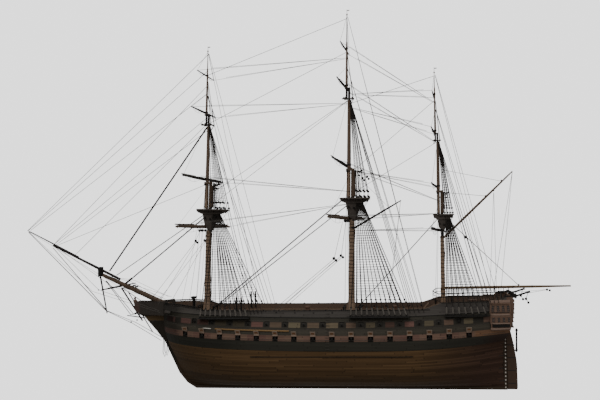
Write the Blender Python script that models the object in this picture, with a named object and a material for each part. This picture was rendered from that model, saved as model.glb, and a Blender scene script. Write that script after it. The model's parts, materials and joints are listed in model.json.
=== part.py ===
"""Three-masted ship of the line, a wooden display model.

Metres, +X towards the stern, -Y to port, +Z up. The origin is the middle of the keel's underside.
"""
import math

import bmesh
import bpy
import numpy as np
from mathutils import Matrix, Vector

# Driving dimensions of the hull
BEAM = 0.304
KEEL_DEPTH = 0.010
KEEL_WIDTH = 0.010
STERNPOST_X = 0.474
HULL_STATIONS = 44
BULWARK = 0.004
END_WALL = 0.006
GAP = 0.0004

# Midship section: height, half-breadth as a share of half the beam
MIDSHIP = [(0.010, 0.03), (0.016, 0.26), (0.026, 0.50), (0.045, 0.72), (0.075, 0.87), (0.110, 0.95),
           (0.146, 0.985), (0.176, 0.985), (0.200, 0.95), (0.225, 0.865), (0.250, 0.785), (0.290, 0.71)]
# Where the planking meets the stem, and where it ends aft: height, x
STEM_LINE = [(0.010, -0.535), (0.020, -0.556), (0.052, -0.581), (0.109, -0.608), (0.153, -0.628),
             (0.190, -0.636), (0.240, -0.642), (0.300, -0.646)]
STERN_LINE = [(0.010, 0.4640), (0.120, 0.4640), (0.165, 0.4650), (0.185, 0.4735), (0.199, 0.4785),
              (0.210, 0.4815), (0.225, 0.4838), (0.240, 0.4858), (0.258, 0.4875), (0.300, 0.4918)]
# Half-breadth at the after end: height, metres
TRANSOM = [(0.010, 0.005), (0.115, 0.005), (0.145, 0.020), (0.168, 0.060), (0.190, 0.094), (0.215, 0.102),
           (0.250, 0.097), (0.300, 0.089)]
# Top of the side and the decks along the ship: x, height
RAIL = [(-0.66, 0.2840), (-0.56, 0.2800), (-0.494, 0.2725), (-0.482, 0.2685), (-0.35, 0.2663), (-0.16, 0.2647),
        (0.238, 0.2640), (0.246, 0.2835), (0.455, 0.2865), (0.463, 0.2990), (0.52, 0.3000)]
DECK = [(-0.66, 0.2600), (-0.47, 0.2550), (-0.44, 0.2515), (-0.10, 0.2490), (0.238, 0.2490), (0.246, 0.2680),
        (0.52, 0.2720)]

# Gun ports: first, last and number along the side, height amidships, width, height of the opening
PORT_TIERS = {"lower": (-0.534, 0.352, 16, 0.1845, 0.0160, 0.0150, 0.008),
              "upper": (-0.504, 0.322, 15, 0.2235, 0.0150, 0.0140, 0.008)}
LID_SIZE = 0.0155
LID_THICK = 0.0016
LID_ANGLE = 52.0

COLORS = {"plank": (0.23, 0.10, 0.035), "dark": (0.035, 0.028, 0.024), "mast": (0.20, 0.10, 0.055),
          "black": (0.020, 0.018, 0.017), "spar": (0.26, 0.13, 0.06), "rope": (0.10, 0.085, 0.07),
          "gallery": (0.16, 0.09, 0.05)}

# Each mast in its own upright frame: foot, rake in degrees, doublings and truck, radii low and high.
# A yard is height, length, radius, turn forward of its port arm and lift of its port arm in degrees.
MASTS = {
    "fore": dict(x=-0.4922, foot=0.2565, rake=2.5, top=0.594, cap=0.684, trees=0.880, tm_cap=0.914,
                 truck=1.129, r=(0.0082, 0.0062), tr=(0.0052, 0.0040), gr=(0.0034, 0.0012), top_len=0.104,
                 lower=(0.537, 0.560, 0.0062, 3.0, 0.0), topsail=(0.697, 0.410, 0.0052, 3.5, 0.0),
                 topgallant=(0.923, 0.260, 0.0036, 3.0, 0.0), royal=(1.049, 0.180, 0.0026, 3.0, 0.0)),
    "main": dict(x=-0.0084, foot=0.2498, rake=1.8, top=0.617, cap=0.712, trees=0.946, tm_cap=0.980,
                 truck=1.223, r=(0.0088, 0.0066), tr=(0.0056, 0.0043), gr=(0.0036, 0.0012), top_len=0.098,
                 lower=(0.553, 0.625, 0.0066, 6.0, 0.0), topsail=(0.727, 0.460, 0.0056, 5.0, 1.5),
                 topgallant=(0.990, 0.290, 0.0040, 4.0, 0.0), royal=(1.113, 0.200, 0.0028, 4.0, 0.0)),
    "mizzen": dict(x=0.2850, foot=0.2693, rake=0.75, top=0.556, cap=0.631, trees=0.796, tm_cap=0.818,
                   truck=1.015, r=(0.0062, 0.0050), tr=(0.0042, 0.0033), gr=(0.0028, 0.0010), top_len=0.066,
                   lower=(0.507, 0.420, 0.0048, 8.0, 1.5), topsail=(0.649, 0.310, 0.0040, 6.0, 0.0),
                   topgallant=(0.828, 0.210, 0.0030, 5.0, 0.0), royal=(0.947, 0.145, 0.0022, 4.0, 0.0)),
}
YARD_NAMES = {"fore": "fore_lower_yard", "main": "main_lower_yard", "mizzen": "crossjack_yard"}
TOP_AHEAD = 0.44
STERN_GALLERY_HALF = 0.088
# How far the quarter galleries stand out: height, distance
GALLERY_BULGE = [(0.200, 0.002), (0.208, 0.009), (0.220, 0.014), (0.250, 0.014), (0.281, 0.012)]

# Booms and gaffs on each mast: name, height of the jaws, outer end, radius, finish
GAFFS = {"fore": [],
         "main": [("main_trysail_gaff", 0.522, (0.160, 0.0, 0.606), 0.0036, "black")],
         "mizzen": [("spanker_boom", 0.3215, (0.678, 0.0, 0.3225), 0.0048, "spar"),
                    ("spanker_gaff", 0.484, (0.513, 0.0, 0.688), 0.0040, "mast")]}
# The three main stays: upper end, lower end
STAY_RADIUS = 0.0011
STAYS = {"fore_stay": ((-0.4856, 0.0, 0.5775), (-0.7750, 0.0, 0.3514)),
         "main_stay": ((-0.0300, 0.0, 0.6144), (-0.4790, 0.0, 0.2584)),
         "mizzen_stay": ((0.2820, 0.0, 0.5510), (0.0034, 0.0, 0.2548))}


def material(name, color):
    mat = bpy.data.materials.new(name)
    mat.use_nodes = True
    shader = mat.node_tree.nodes["Principled BSDF"]
    shader.inputs["Base Color"].default_value = (*color, 1.0)
    shader.inputs["Roughness"].default_value = 0.55
    return mat


def make_object(name, bm, kind, origin=(0.0, 0.0, 0.0)):
    """Turn a bmesh in world coordinates into a named object whose origin is the given point."""
    bmesh.ops.translate(bm, verts=bm.verts, vec=-Vector(origin))
    bmesh.ops.recalc_face_normals(bm, faces=bm.faces)
    mesh = bpy.data.meshes.new(name)
    bm.to_mesh(mesh)
    bm.free()
    obj = bpy.data.objects.new(name, mesh)
    obj.location = origin
    obj.data.materials.append(material(name, COLORS[kind]))
    bpy.context.scene.collection.objects.link(obj)
    bpy.context.view_layer.update()
    return obj


def curve(points, x):
    xs, ys = zip(*points)
    return float(np.interp(x, xs, ys))


def smooth_curve(points, x):
    """Catmull-Rom interpolation through (x, y) points."""
    xs = [p[0] for p in points]
    ys = [p[1] for p in points]
    x = min(max(x, xs[0]), xs[-1])
    i = min(max(int(np.searchsorted(xs, x)) - 1, 0), len(xs) - 2)
    t = (x - xs[i]) / (xs[i + 1] - xs[i])

    def slope(k):
        a = max(k - 1, 0)
        b = min(k + 1, len(xs) - 1)
        return (ys[b] - ys[a]) / (xs[b] - xs[a])

    h = xs[i + 1] - xs[i]
    m0 = slope(i) * h
    m1 = slope(i + 1) * h
    return ((2 * t ** 3 - 3 * t ** 2 + 1) * ys[i] + (t ** 3 - 2 * t ** 2 + t) * m0
            + (3 * t ** 2 - 2 * t ** 3) * ys[i + 1] + (t ** 3 - t ** 2) * m1)


def sheer(x):
    """Rise of the deck lines towards the ends, above their height amidships."""
    if x < 0.0:
        return 0.0155 * (x / -0.534) ** 2
    return 0.0125 * (x / 0.40) ** 2


def level_height(level, x):
    """Height of a sheered level: the keel is straight and the wales carry the whole sheer."""
    share = min(max((level - 0.03) / 0.11, 0.0), 1.0)
    return level + share * sheer(x)


def half_breadth(x, level):
    """Half-breadth of the planking at a station, on a sheered level."""
    mid = smooth_curve(MIDSHIP, level) * BEAM / 2
    z_stem = level_height(level, -0.62)
    z_stern = level_height(level, 0.48)
    full = min(max((level - 0.02) / 0.16, 0.0), 1.0)
    if x < -0.30:
        end = smooth_curve(STEM_LINE, z_stem)
        t = min((-0.30 - x) / (-0.30 - end), 1.0)
        edge = KEEL_WIDTH / 2
        power = 1.9 + 1.5 * full
        root = 1.0 - 0.48 * full
    elif x > 0.12:
        end = smooth_curve(STERN_LINE, z_stern)
        t = min((x - 0.12) / (end - 0.12), 1.0)
        edge = smooth_curve(TRANSOM, z_stern)
        power = 1.75 + 0.75 * full
        root = 1.12 - 0.12 * full
    else:
        return mid
    edge = min(edge, mid)
    return edge + (mid - edge) * (1.0 - t ** power) ** root


def side_at(x, z):
    """Half-breadth at a real height, on the flat strakes between the hull's rows."""
    level = z
    for _ in range(6):
        level -= level_height(level, x) - z
    levels = [row for row, _ in hull_levels()] + [0.284]
    k = min(max(int(np.searchsorted(levels, level)), 1), len(levels) - 1)
    low = half_breadth(x, levels[k - 1])
    high = half_breadth(x, levels[k])
    return low + (high - low) * (level - levels[k - 1]) / (levels[k] - levels[k - 1])


def hull_levels():
    """Rows up the side, each a level and how far it stands out: the wales are proud of the planking."""
    rows = [(z, 0.0) for z in (0.010, 0.016, 0.026, 0.042, 0.062, 0.085, 0.110, 0.130, 0.1425)]
    rows += [(0.1440, 0.0016), (0.160, 0.0016), (0.1745, 0.0016), (0.1760, 0.0)]
    rows += [(z, 0.0) for z in (0.196, 0.215, 0.233, 0.250)]
    return rows


def end_x(line, level, near):
    return smooth_curve(line, level_height(level, near))


def hull_end(line, near):
    """The hull's profile at one end, as (x, z) points up its rows."""
    points = []
    for level, _ in hull_levels():
        x = end_x(line, level, near)
        points.append((x, level_height(level, x)))
    return points


def build_hull():
    rows = hull_levels()
    bm = bmesh.new()
    grid = []
    fractions = [0.5 - 0.5 * math.cos(math.pi * i / (HULL_STATIONS - 1)) for i in range(HULL_STATIONS)]
    fractions = [0.62 * f + 0.38 * i / (HULL_STATIONS - 1) for i, f in enumerate(fractions)]
    for side in (-1.0, 1.0):
        columns = []
        for f in fractions:
            column = []
            for level, proud in rows:
                x_stem = end_x(STEM_LINE, level, -0.62)
                x_stern = end_x(STERN_LINE, level, 0.48)
                x = x_stem + f * (x_stern - x_stem)
                y = half_breadth(x, level)
                fade = min(1.0, 12.0 * f, 12.0 * (1.0 - f))
                column.append(bm.verts.new((x, side * (y + proud * fade), level_height(level, x))))
            x = column[-1].co.x
            top = curve(RAIL, x)
            column.append(bm.verts.new((x, side * side_at(x, min(top, 0.296)), top)))
            x_in = x + END_WALL * (1.0 - 2.0 * f)
            wall = BULWARK * (1.0 + 2.8 * max(0.0, 1.0 - 12.0 * f))
            inner = max(side_at(x_in, min(top, 0.296)) - wall, 0.0035)
            column.append(bm.verts.new((x_in, side * inner, top)))
            column.append(bm.verts.new((x_in, side * max(inner - 0.0005, 0.003), curve(DECK, x_in))))
            columns.append(column)
        grid.append(columns)
    for columns in grid:
        for left, right in zip(columns, columns[1:]):
            for a, b, c, d in zip(left, right, right[1:], left[1:]):
                bm.faces.new((a, b, c, d))
    port, starboard = grid
    count = len(fractions)
    for i in range(count - 1):
        bm.faces.new((port[i][0], port[i + 1][0], starboard[i + 1][0], starboard[i][0]))
        bm.faces.new((port[i][-1], port[i + 1][-1], starboard[i + 1][-1], starboard[i][-1]))
    rows_up = len(port[0])
    for k in (0, count - 1):
        for j in range(rows_up - 1):
            bm.faces.new((port[k][j], port[k][j + 1], starboard[k][j + 1], starboard[k][j]))
    return make_object("hull", bm, "plank")


def box_into(bm, low, high, turn=None):
    """Add a box between two corners, optionally turned by a matrix about its own centre."""
    low = Vector(low)
    high = Vector(high)
    centre = (low + high) / 2
    size = high - low
    matrix = Matrix.Translation(centre)
    if turn is not None:
        matrix = matrix @ turn
    bmesh.ops.create_cube(bm, size=1.0, matrix=matrix @ Matrix.Diagonal((*size, 1.0)))


def boolean(obj, tool, operation):
    """Apply one exact boolean and remove the tool."""
    bpy.context.view_layer.update()
    mod = obj.modifiers.new("cut", "BOOLEAN")
    mod.operation = operation
    mod.solver = "EXACT"
    mod.object = tool
    graph = bpy.context.evaluated_depsgraph_get()
    mesh = bpy.data.meshes.new_from_object(obj.evaluated_get(graph))
    obj.modifiers.remove(mod)
    old = obj.data
    obj.data = mesh
    bpy.data.meshes.remove(old)
    bpy.data.objects.remove(tool)
    for slot in range(len(obj.data.materials) - 1, 0, -1):
        obj.data.materials.pop(index=slot)
    return obj


def port_places(tier):
    first, last, number, level, width, height, depth = PORT_TIERS[tier]
    for i in range(number):
        x = first + (last - first) * i / (number - 1)
        yield x, level_height(level, x), width, height, depth


def cut_ports(hull):
    tool = bmesh.new()
    for tier in PORT_TIERS:
        for x, z, width, height, depth in port_places(tier):
            y = side_at(x, z)
            for side in (-1.0, 1.0):
                low = (x - width / 2, min(side * (y - depth), side * (y + 0.02)), z - height / 2)
                high = (x + width / 2, max(side * (y - depth), side * (y + 0.02)), z + height / 2)
                box_into(tool, low, high)
    boolean(hull, make_object("port_cutters", tool, "dark"), "DIFFERENCE")


def add_lids(hull):
    tool = bmesh.new()
    for x, z, width, height, _ in port_places("lower"):
        hinge = z + height / 2 + 0.0012
        y = side_at(x, hinge)
        for side in (-1.0, 1.0):
            turn = Matrix.Rotation(-side * math.radians(90.0 - LID_ANGLE), 4, "X")
            centre = Vector((x, side * y, hinge)) + turn @ Vector((0.0, 0.0, LID_SIZE / 2 - 0.002))
            half = Vector((LID_SIZE / 2, LID_THICK / 2, LID_SIZE / 2))
            box_into(tool, centre - half, centre + half, turn)
    boolean(hull, make_object("lids", tool, "spar"), "UNION")


def lathe(name, start, end, profile, kind, sides=12, origin=None):
    """A turned spar from start to end: profile is (share along, radius) pairs."""
    bm = bmesh.new()
    lathe_into(bm, start, end, profile, sides)
    return make_object(name, bm, kind, origin or start)


def lathe_into(bm, start, end, profile, sides=12):
    start = Vector(start)
    end = Vector(end)
    along = (end - start).normalized()
    turn = along.to_track_quat("Z", "X").to_matrix()
    rings = []
    for share, radius in profile:
        centre = start.lerp(end, share)
        ring = []
        for k in range(sides):
            angle = 2 * math.pi * (k + 0.5) / sides
            ring.append(bm.verts.new(centre + turn @ Vector((radius * math.cos(angle),
                                                            radius * math.sin(angle), 0.0))))
        rings.append(ring)
    for a, b in zip(rings, rings[1:]):
        for k in range(sides):
            n = (k + 1) % sides
            bm.faces.new((a[k], a[n], b[n], b[k]))
    bm.faces.new(rings[0][::-1])
    bm.faces.new(rings[-1])


def plate(name, outline, y_low, y_high, kind, origin=(0.0, 0.0, 0.0)):
    """A flat piece cut from a board that stands fore and aft: outline is (x, z) pairs."""
    bm = bmesh.new()
    low = [bm.verts.new((x, y_low, z)) for x, z in outline]
    high = [bm.verts.new((x, y_high, z)) for x, z in outline]
    bm.faces.new(low)
    bm.faces.new(high[::-1])
    for k in range(len(outline)):
        n = (k + 1) % len(outline)
        bm.faces.new((low[k], high[k], high[n], low[n]))
    return make_object(name, bm, kind, origin)


def side_piece(name, stations, heights, depth, side, kind, gap=GAP):
    """A closed piece that follows the hull's side; depth(x, z) is how far it stands out."""
    bm = bmesh.new()
    inner = []
    outer = []
    for x in stations:
        inner_row = []
        outer_row = []
        for z in heights:
            y = side_at(x, z) + gap
            inner_row.append(bm.verts.new((x, side * y, z)))
            outer_row.append(bm.verts.new((x, side * (y + depth(x, z)), z)))
        inner.append(inner_row)
        outer.append(outer_row)
    rows = len(heights)
    cols = len(stations)
    for sheet in (inner, outer):
        for i in range(cols - 1):
            for j in range(rows - 1):
                bm.faces.new((sheet[i][j], sheet[i + 1][j], sheet[i + 1][j + 1], sheet[i][j + 1]))
    for i in range(cols - 1):
        for j in (0, rows - 1):
            bm.faces.new((inner[i][j], inner[i + 1][j], outer[i + 1][j], outer[i][j]))
    for j in range(rows - 1):
        for i in (0, cols - 1):
            bm.faces.new((inner[i][j], inner[i][j + 1], outer[i][j + 1], outer[i][j]))
    return make_object(name, bm, kind)


def build_backbone():
    """Keel, sternpost, stem and the knee of the head, in one board."""
    keel = KEEL_DEPTH - GAP
    forward = [(-0.535, 0.0), (-0.566, 0.019), (-0.593, 0.052), (-0.620, 0.109), (-0.640, 0.153),
               (-0.671, 0.192), (-0.712, 0.238), (-0.748, 0.268), (-0.7485, 0.2765), (-0.7385, 0.2765),
               (-0.712, 0.263), (-0.680, 0.254), (-0.652, 0.256)]
    rabbet = [(x - GAP, z) for x, z in hull_end(STEM_LINE, -0.62) if 0.012 < z < 0.25]
    stern = [(x + GAP, z) for x, z in hull_end(STERN_LINE, 0.48) if 0.012 < z < 0.162]
    outline = forward + rabbet[::-1] + [(-0.5345, keel), (stern[0][0], keel)] + stern
    outline += [(STERNPOST_X, stern[-1][1] + 0.004), (STERNPOST_X, 0.0)]
    return plate("keel_and_stem", outline, -KEEL_WIDTH / 2, KEEL_WIDTH / 2, "plank")


def build_rudder():
    axis_x = STERNPOST_X + 0.0036
    outline = [(axis_x, 0.001), (0.504, 0.001), (0.506, 0.007), (0.506, 0.080), (0.504, 0.100),
               (0.501, 0.120), (0.496, 0.152), (0.493, 0.166), (0.490, 0.181), (axis_x, 0.171)]
    rudder = plate("rudder", outline, -0.003, 0.003, "plank", (axis_x, 0.0, 0.0))
    nose = bmesh.new()
    lathe_into(nose, (axis_x, 0.0, 0.001), (axis_x, 0.0, 0.171), [(0.0, 0.0031), (1.0, 0.0031)], 16)
    return boolean(rudder, make_object("nose", nose, "plank"), "UNION")


BOWSPRIT = (Vector((-0.590, 0.0, 0.2576)), Vector((-0.8595, 0.0, 0.3806)))
JIBBOOM = (Vector((-0.798, 0.0, 0.3652)), Vector((-1.040, 0.0, 0.4862)))
FLYING = (Vector((-0.950, 0.0066, 0.4437)), Vector((-1.137, 0.0066, 0.5402)))
CAP_X = -0.868
SPRITSAIL = (-0.801, 0.3415)
SPRITSAIL_LENGTH = 0.300


def build_bow(hull):
    tool = bmesh.new()
    along = (BOWSPRIT[1] - BOWSPRIT[0]).normalized()
    lathe_into(tool, BOWSPRIT[0] - 0.0004 * along, BOWSPRIT[0] + 0.12 * along, [(0.0, 0.0094), (1.0, 0.0094)])
    boolean(hull, make_object("bowsprit_hole", tool, "dark"), "DIFFERENCE")
    lathe("bowsprit", *BOWSPRIT, [(0.0, 0.0088), (0.35, 0.0086), (0.7, 0.0075), (1.0, 0.0060)], "mast")
    cap = bmesh.new()
    box_into(cap, (CAP_X - 0.0055, -0.011, 0.3760), (CAP_X + 0.0055, 0.011, 0.4085))
    cap = make_object("bowsprit_cap", cap, "black", (CAP_X, 0.0, 0.391))
    hole = bmesh.new()
    lathe_into(hole, *JIBBOOM, [(0.0, 0.0050), (1.0, 0.0050)], 16)
    boolean(cap, make_object("jibboom_hole", hole, "black"), "DIFFERENCE")
    lathe("jibboom", *JIBBOOM, [(0.0, 0.0042), (0.3, 0.0046), (1.0, 0.0031)], "black")
    lathe("flying_jibboom", *FLYING, [(0.0, 0.0026), (0.5, 0.0025), (1.0, 0.0014)], "black", 8)
    lathe("dolphin_striker", (-0.8690, 0.0, 0.3753), (-0.847, 0.0, 0.250), [(0.0, 0.0030), (1.0, 0.0020)],
          "black", 8)
    half, z = SPRITSAIL_LENGTH / 2, SPRITSAIL[1]
    yard = bmesh.new()
    lathe_into(yard, (SPRITSAIL[0], -half, z), (SPRITSAIL[0], half, z),
               [(0.0, 0.0017), (0.25, 0.0030), (0.5, 0.0035), (0.75, 0.0030), (1.0, 0.0017)], 8)
    yard = make_object("spritsail_yard", yard, "black", (SPRITSAIL[0], 0.0, z))
    sling = bmesh.new()
    box_into(sling, (SPRITSAIL[0] - 0.0016, -0.0016, z), (SPRITSAIL[0] + 0.0016, 0.0016, z + 0.0037))
    boolean(yard, make_object("sling", sling, "black"), "UNION")


def build_head():
    """Figurehead, head rails and catheads."""
    lathe("figurehead", (-0.7435, 0.0, 0.2776), (-0.7475, 0.0, 0.3040),
          [(0.0, 0.0050), (0.22, 0.0062), (0.45, 0.0070), (0.58, 0.0062), (0.70, 0.0028), (0.76, 0.0034),
           (0.88, 0.0042), (0.96, 0.0030), (1.0, 0.0012)], "gallery")
    for label, side in (("port", -1.0), ("starboard", 1.0)):
        bm = bmesh.new()
        path = [(-0.6418, 0.0300, 0.2560, 0.0300), (-0.6700, 0.0260, 0.2560, 0.0270),
                (-0.6950, 0.0190, 0.2570, 0.0250), (-0.7200, 0.0125, 0.2610, 0.0230),
                (-0.7360, 0.0069, 0.2660, 0.0190)]
        rings = []
        for x, y, z, tall in path:
            rings.append([bm.verts.new((x, side * (y + dy), z + dz))
                          for dy, dz in ((-0.0015, 0.0), (0.0015, 0.0), (0.0015, tall), (-0.0015, tall))])
        for a, b in zip(rings, rings[1:]):
            for k in range(4):
                n = (k + 1) % 4
                bm.faces.new((a[k], a[n], b[n], b[k]))
        bm.faces.new(rings[0])
        bm.faces.new(rings[-1])
        make_object("head_rail_" + label, bm, "gallery")
        z = 0.2620
        y = side_at(-0.600, z)
        bm = bmesh.new()
        box_into(bm, (-0.628, -0.0035, z - 0.0035), (-0.592, 0.0035, z + 0.0035))
        turn = Matrix.Translation((-0.600, side * (y + 0.0134), z)) @ Matrix.Rotation(side * 0.9, 4, "Z")
        bmesh.ops.transform(bm, matrix=turn @ Matrix.Translation((0.600, 0.0, -z)), verts=bm.verts)
        make_object("cathead_" + label, bm, "mast")


def build_side_pieces():
    for label, side in (("port", -1.0), ("starboard", 1.0)):
        for mast, x0, x1, width in (("fore", -0.487, -0.322, 0.020), ("main", -0.010, 0.176, 0.020),
                                    ("mizzen", 0.281, 0.412, 0.016)):
            stations = np.linspace(x0, x1, 9)
            side_piece(f"channel_{mast}_{label}", stations, (0.2448, 0.2476),
                       lambda x, z, w=width: w, side, "dark")

        def bulge(x, z):
            base = float(np.interp(z, *zip(*GALLERY_BULGE)))
            return base * min(1.0, 0.35 + (x - 0.4185) / 0.020)

        side_piece("quarter_gallery_" + label, np.linspace(0.4185, 0.4785, 8),
                   (0.200, 0.208, 0.214, 0.220, 0.235, 0.250, 0.266, 0.281), bulge, side, "gallery", 0.0008)
        bm = bmesh.new()
        box_into(bm, (0.4894, side * 0.055 - 0.0022, 0.2916), (0.5420, side * 0.055 + 0.0022, 0.2960))
        turn = Matrix.Rotation(math.radians(-18.0), 4, "Y")
        pivot = Vector((0.4894, 0.0, 0.2938))
        bmesh.ops.rotate(bm, verts=bm.verts, cent=pivot, matrix=turn)
        make_object("stern_davit_" + label, bm, "dark")


def build_stern_gallery():
    """The galleries across the stern: ledges stand proud between the window rows."""
    profile = sorted((z, x) for x, z in hull_end(STERN_LINE, 0.48))
    heights, xs = zip(*profile)
    ledges = ((0.2055, 0.0040), (0.2075, 0.0070), (0.2095, 0.0030), (0.2330, 0.0030), (0.2350, 0.0065),
              (0.2370, 0.0030), (0.2600, 0.0030), (0.2620, 0.0060), (0.2640, 0.0030), (0.2790, 0.0030))
    rows = sorted([(z, 0.0030) for z in heights if 0.2065 < z < 0.2780] + list(ledges))
    bm = bmesh.new()
    sections = []
    for y in np.linspace(-STERN_GALLERY_HALF, STERN_GALLERY_HALF, 7):
        crown = 1.0 + 0.25 * (1.0 - (y / STERN_GALLERY_HALF) ** 2)
        inner = [bm.verts.new((float(np.interp(z, heights, xs)) + 0.0006, y, z)) for z, _ in rows]
        outer = [bm.verts.new((float(np.interp(z, heights, xs)) + 0.0006 + crown * proud, y, z))
                 for z, proud in rows]
        sections.append(inner + outer[::-1])
    count = len(sections[0])
    for a, b in zip(sections, sections[1:]):
        for k in range(count):
            n = (k + 1) % count
            bm.faces.new((a[k], a[n], b[n], b[k]))
    bm.faces.new(sections[0])
    bm.faces.new(sections[-1][::-1])
    make_object("stern_gallery", bm, "gallery")


def bore(obj, x, z, radius, reach=0.01, sides=16):
    """Cut a round upright hole on the centre plane."""
    bm = bmesh.new()
    lathe_into(bm, (x, 0.0, z - reach), (x, 0.0, z + reach), [(0.0, radius), (1.0, radius)], sides)
    return boolean(obj, make_object("hole", bm, "black"), "DIFFERENCE")


def join_shape(obj, bm):
    return boolean(obj, make_object("shape", bm, "black"), "UNION")


def build_yard(name, x, sizes, mast_radius):
    """A yard with its parrel round the mast; its origin is on the mast's axis."""
    z, length, radius, forward, lift = sizes
    reach = mast_radius + radius + 0.0012
    half = length / 2
    yard = bmesh.new()
    lathe_into(yard, (x - reach, -half, z), (x - reach, half, z),
               [(0.0, 0.45 * radius), (0.12, 0.66 * radius), (0.3, 0.92 * radius), (0.5, radius),
                (0.7, 0.92 * radius), (0.88, 0.66 * radius), (1.0, 0.45 * radius)], 10)
    yard = make_object(name, yard, "black", (x, 0.0, z))
    jaw = bmesh.new()
    box_into(jaw, (x - reach, -0.0030, z - 0.0018), (x - mast_radius, 0.0030, z + 0.0018))
    join_shape(yard, jaw)
    outer = mast_radius + 0.0021
    parrel = bmesh.new()
    lathe_into(parrel, (x, 0.0, z - 0.0022), (x, 0.0, z + 0.0022), [(0.0, outer), (1.0, outer)], 16)
    join_shape(yard, parrel)
    bore(yard, x, z, mast_radius + 0.0005)
    yard.rotation_euler = (math.radians(-lift), 0.0, math.radians(-forward))
    return yard


def between(low, high, z):
    """A value at height z on the line through two (height, value) pairs."""
    (z0, r0), (z1, r1) = low, high
    return r0 + (r1 - r0) * (z - z0) / (z1 - z0)


def mast_lines(m):
    """Fore-and-aft places of the topmast and the topgallant mast, which stand ahead of the mast below."""
    topmast_x = m["x"] - m["r"][1] - m["tr"][0] - 0.0006
    return topmast_x, topmast_x - m["tr"][1] - m["gr"][0] - 0.0006


def lower_radius(m, z):
    return between((m["foot"], m["r"][0]), (m["top"] - 0.03, m["r"][1] * 1.04), z)


def cap_block(x_fore, x_aft, half, z, thick, hole_x, hole_radius):
    """A cap: a block with the upper mast's hole in it."""
    bm = bmesh.new()
    box_into(bm, (x_fore, -half, z - thick / 2), (x_aft, half, z + thick / 2))
    return bore(make_object("cap", bm, "black"), hole_x, z, hole_radius)


def build_lower_mast(name, m):
    x, foot, top, cap = m["x"], m["foot"], m["top"], m["cap"]
    r0, r1 = m["r"]
    t0 = m["tr"][0]
    topmast_x, _ = mast_lines(m)
    span = cap + 0.004 - foot
    collar = r0 * 1.45
    mast = lathe(name + "_lower_mast", (x, 0.0, foot), (x, 0.0, cap + 0.004),
                 [(0.0, collar), (0.008, collar), (0.012, r0), ((top - 0.03 - foot) / span, r1 * 1.04),
                  ((top - 0.02 - foot) / span, r1), (1.0, r1 * 0.92)], "mast", 16)
    cap_piece = cap_block(topmast_x - t0 - 0.0035, x + 0.002, t0 + 0.0035, cap, 0.0064,
                          topmast_x, t0 + 0.0004)
    return boolean(mast, cap_piece, "UNION")


def build_top(name, m):
    """The platform on the lower mast, with holes for the two masts."""
    x, top, length = m["x"], m["top"], m["top_len"]
    topmast_x, _ = mast_lines(m)
    fore = x - TOP_AHEAD * length
    aft = fore + length
    wide = 0.62 * length
    half_outline = [(fore, 0.15 * wide), (fore + 0.10 * length, 0.34 * wide),
                    (fore + 0.35 * length, 0.62 * wide), (aft, 0.62 * wide)]
    outline = half_outline + [(px, -py) for px, py in half_outline[::-1]]
    bm = bmesh.new()
    low = bm.faces.new([bm.verts.new((px, py, top - 0.0022)) for px, py in outline])
    raised = bmesh.ops.extrude_face_region(bm, geom=[low])["geom"]
    raised = [v for v in raised if isinstance(v, bmesh.types.BMVert)]
    bmesh.ops.translate(bm, vec=(0.0, 0.0, 0.0044), verts=raised)
    platform = make_object(name + "_top", bm, "dark", (x, 0.0, top))
    bore(platform, x, top, m["r"][1] + 0.0006)
    return bore(platform, topmast_x, top, m["tr"][0] + 0.0004)


def build_topmast(name, m):
    t0, t1 = m["tr"]
    g0 = m["gr"][0]
    topmast_x, topgallant_x = mast_lines(m)
    heel = m["top"] - 0.004
    end = m["tm_cap"] + 0.003
    span = end - heel
    mast = lathe(name + "_topmast", (topmast_x, 0.0, heel), (topmast_x, 0.0, end),
                 [(0.0, t0), ((m["cap"] + 0.02 - heel) / span, t0), ((m["trees"] - 0.006 - heel) / span, t1),
                  (1.0, t1 * 0.9)], "mast", 12)
    cap_piece = cap_block(topgallant_x - g0 - 0.0025, topmast_x + 0.0015, g0 + 0.0025, m["tm_cap"], 0.0044,
                          topgallant_x, g0 + 0.0003)
    return boolean(mast, cap_piece, "UNION")


def build_crosstrees(name, m):
    """Two arms across a centre piece, with holes for the topmast and the topgallant mast."""
    topmast_x, topgallant_x = mast_lines(m)
    z = m["trees"]
    length = 0.42 * m["top_len"]
    arm = 0.26 * m["top_len"]
    bm = bmesh.new()
    fore, aft = topmast_x - 0.58 * length, topmast_x + 0.40 * length
    box_into(bm, (fore, -0.0052, z - 0.0014), (aft, 0.0052, z + 0.0014))
    trees = make_object(name + "_crosstrees", bm, "dark", (topmast_x, 0.0, z))
    bm = bmesh.new()
    for share, half in ((-0.44, 0.92 * arm), (0.22, arm)):
        fore = topmast_x + share * length
        box_into(bm, (fore, -half, z - 0.0012), (fore + 0.10 * length, half, z + 0.0022))
    join_shape(trees, bm)
    bore(trees, topmast_x, z, m["tr"][1] + 0.0005, sides=12)
    return bore(trees, topgallant_x, z, m["gr"][0] + 0.0003, sides=12)


def build_topgallant_mast(name, m):
    """Topgallant mast with the royal pole and its truck."""
    g0, g1 = m["gr"]
    _, x = mast_lines(m)
    heel = m["trees"] - 0.004
    truck = m["truck"]
    span = truck + 0.006 - heel
    return lathe(name + "_topgallant_mast", (x, 0.0, heel), (x, 0.0, truck + 0.006),
                 [(0.0, g0), ((m["tm_cap"] + 0.02 - heel) / span, g0), ((truck - heel) / span, g1),
                  ((truck + 0.0005 - heel) / span, g1 + 0.0016),
                  ((truck + 0.0030 - heel) / span, g1 + 0.0016), (1.0, 0.0008)], "mast", 10)


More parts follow.
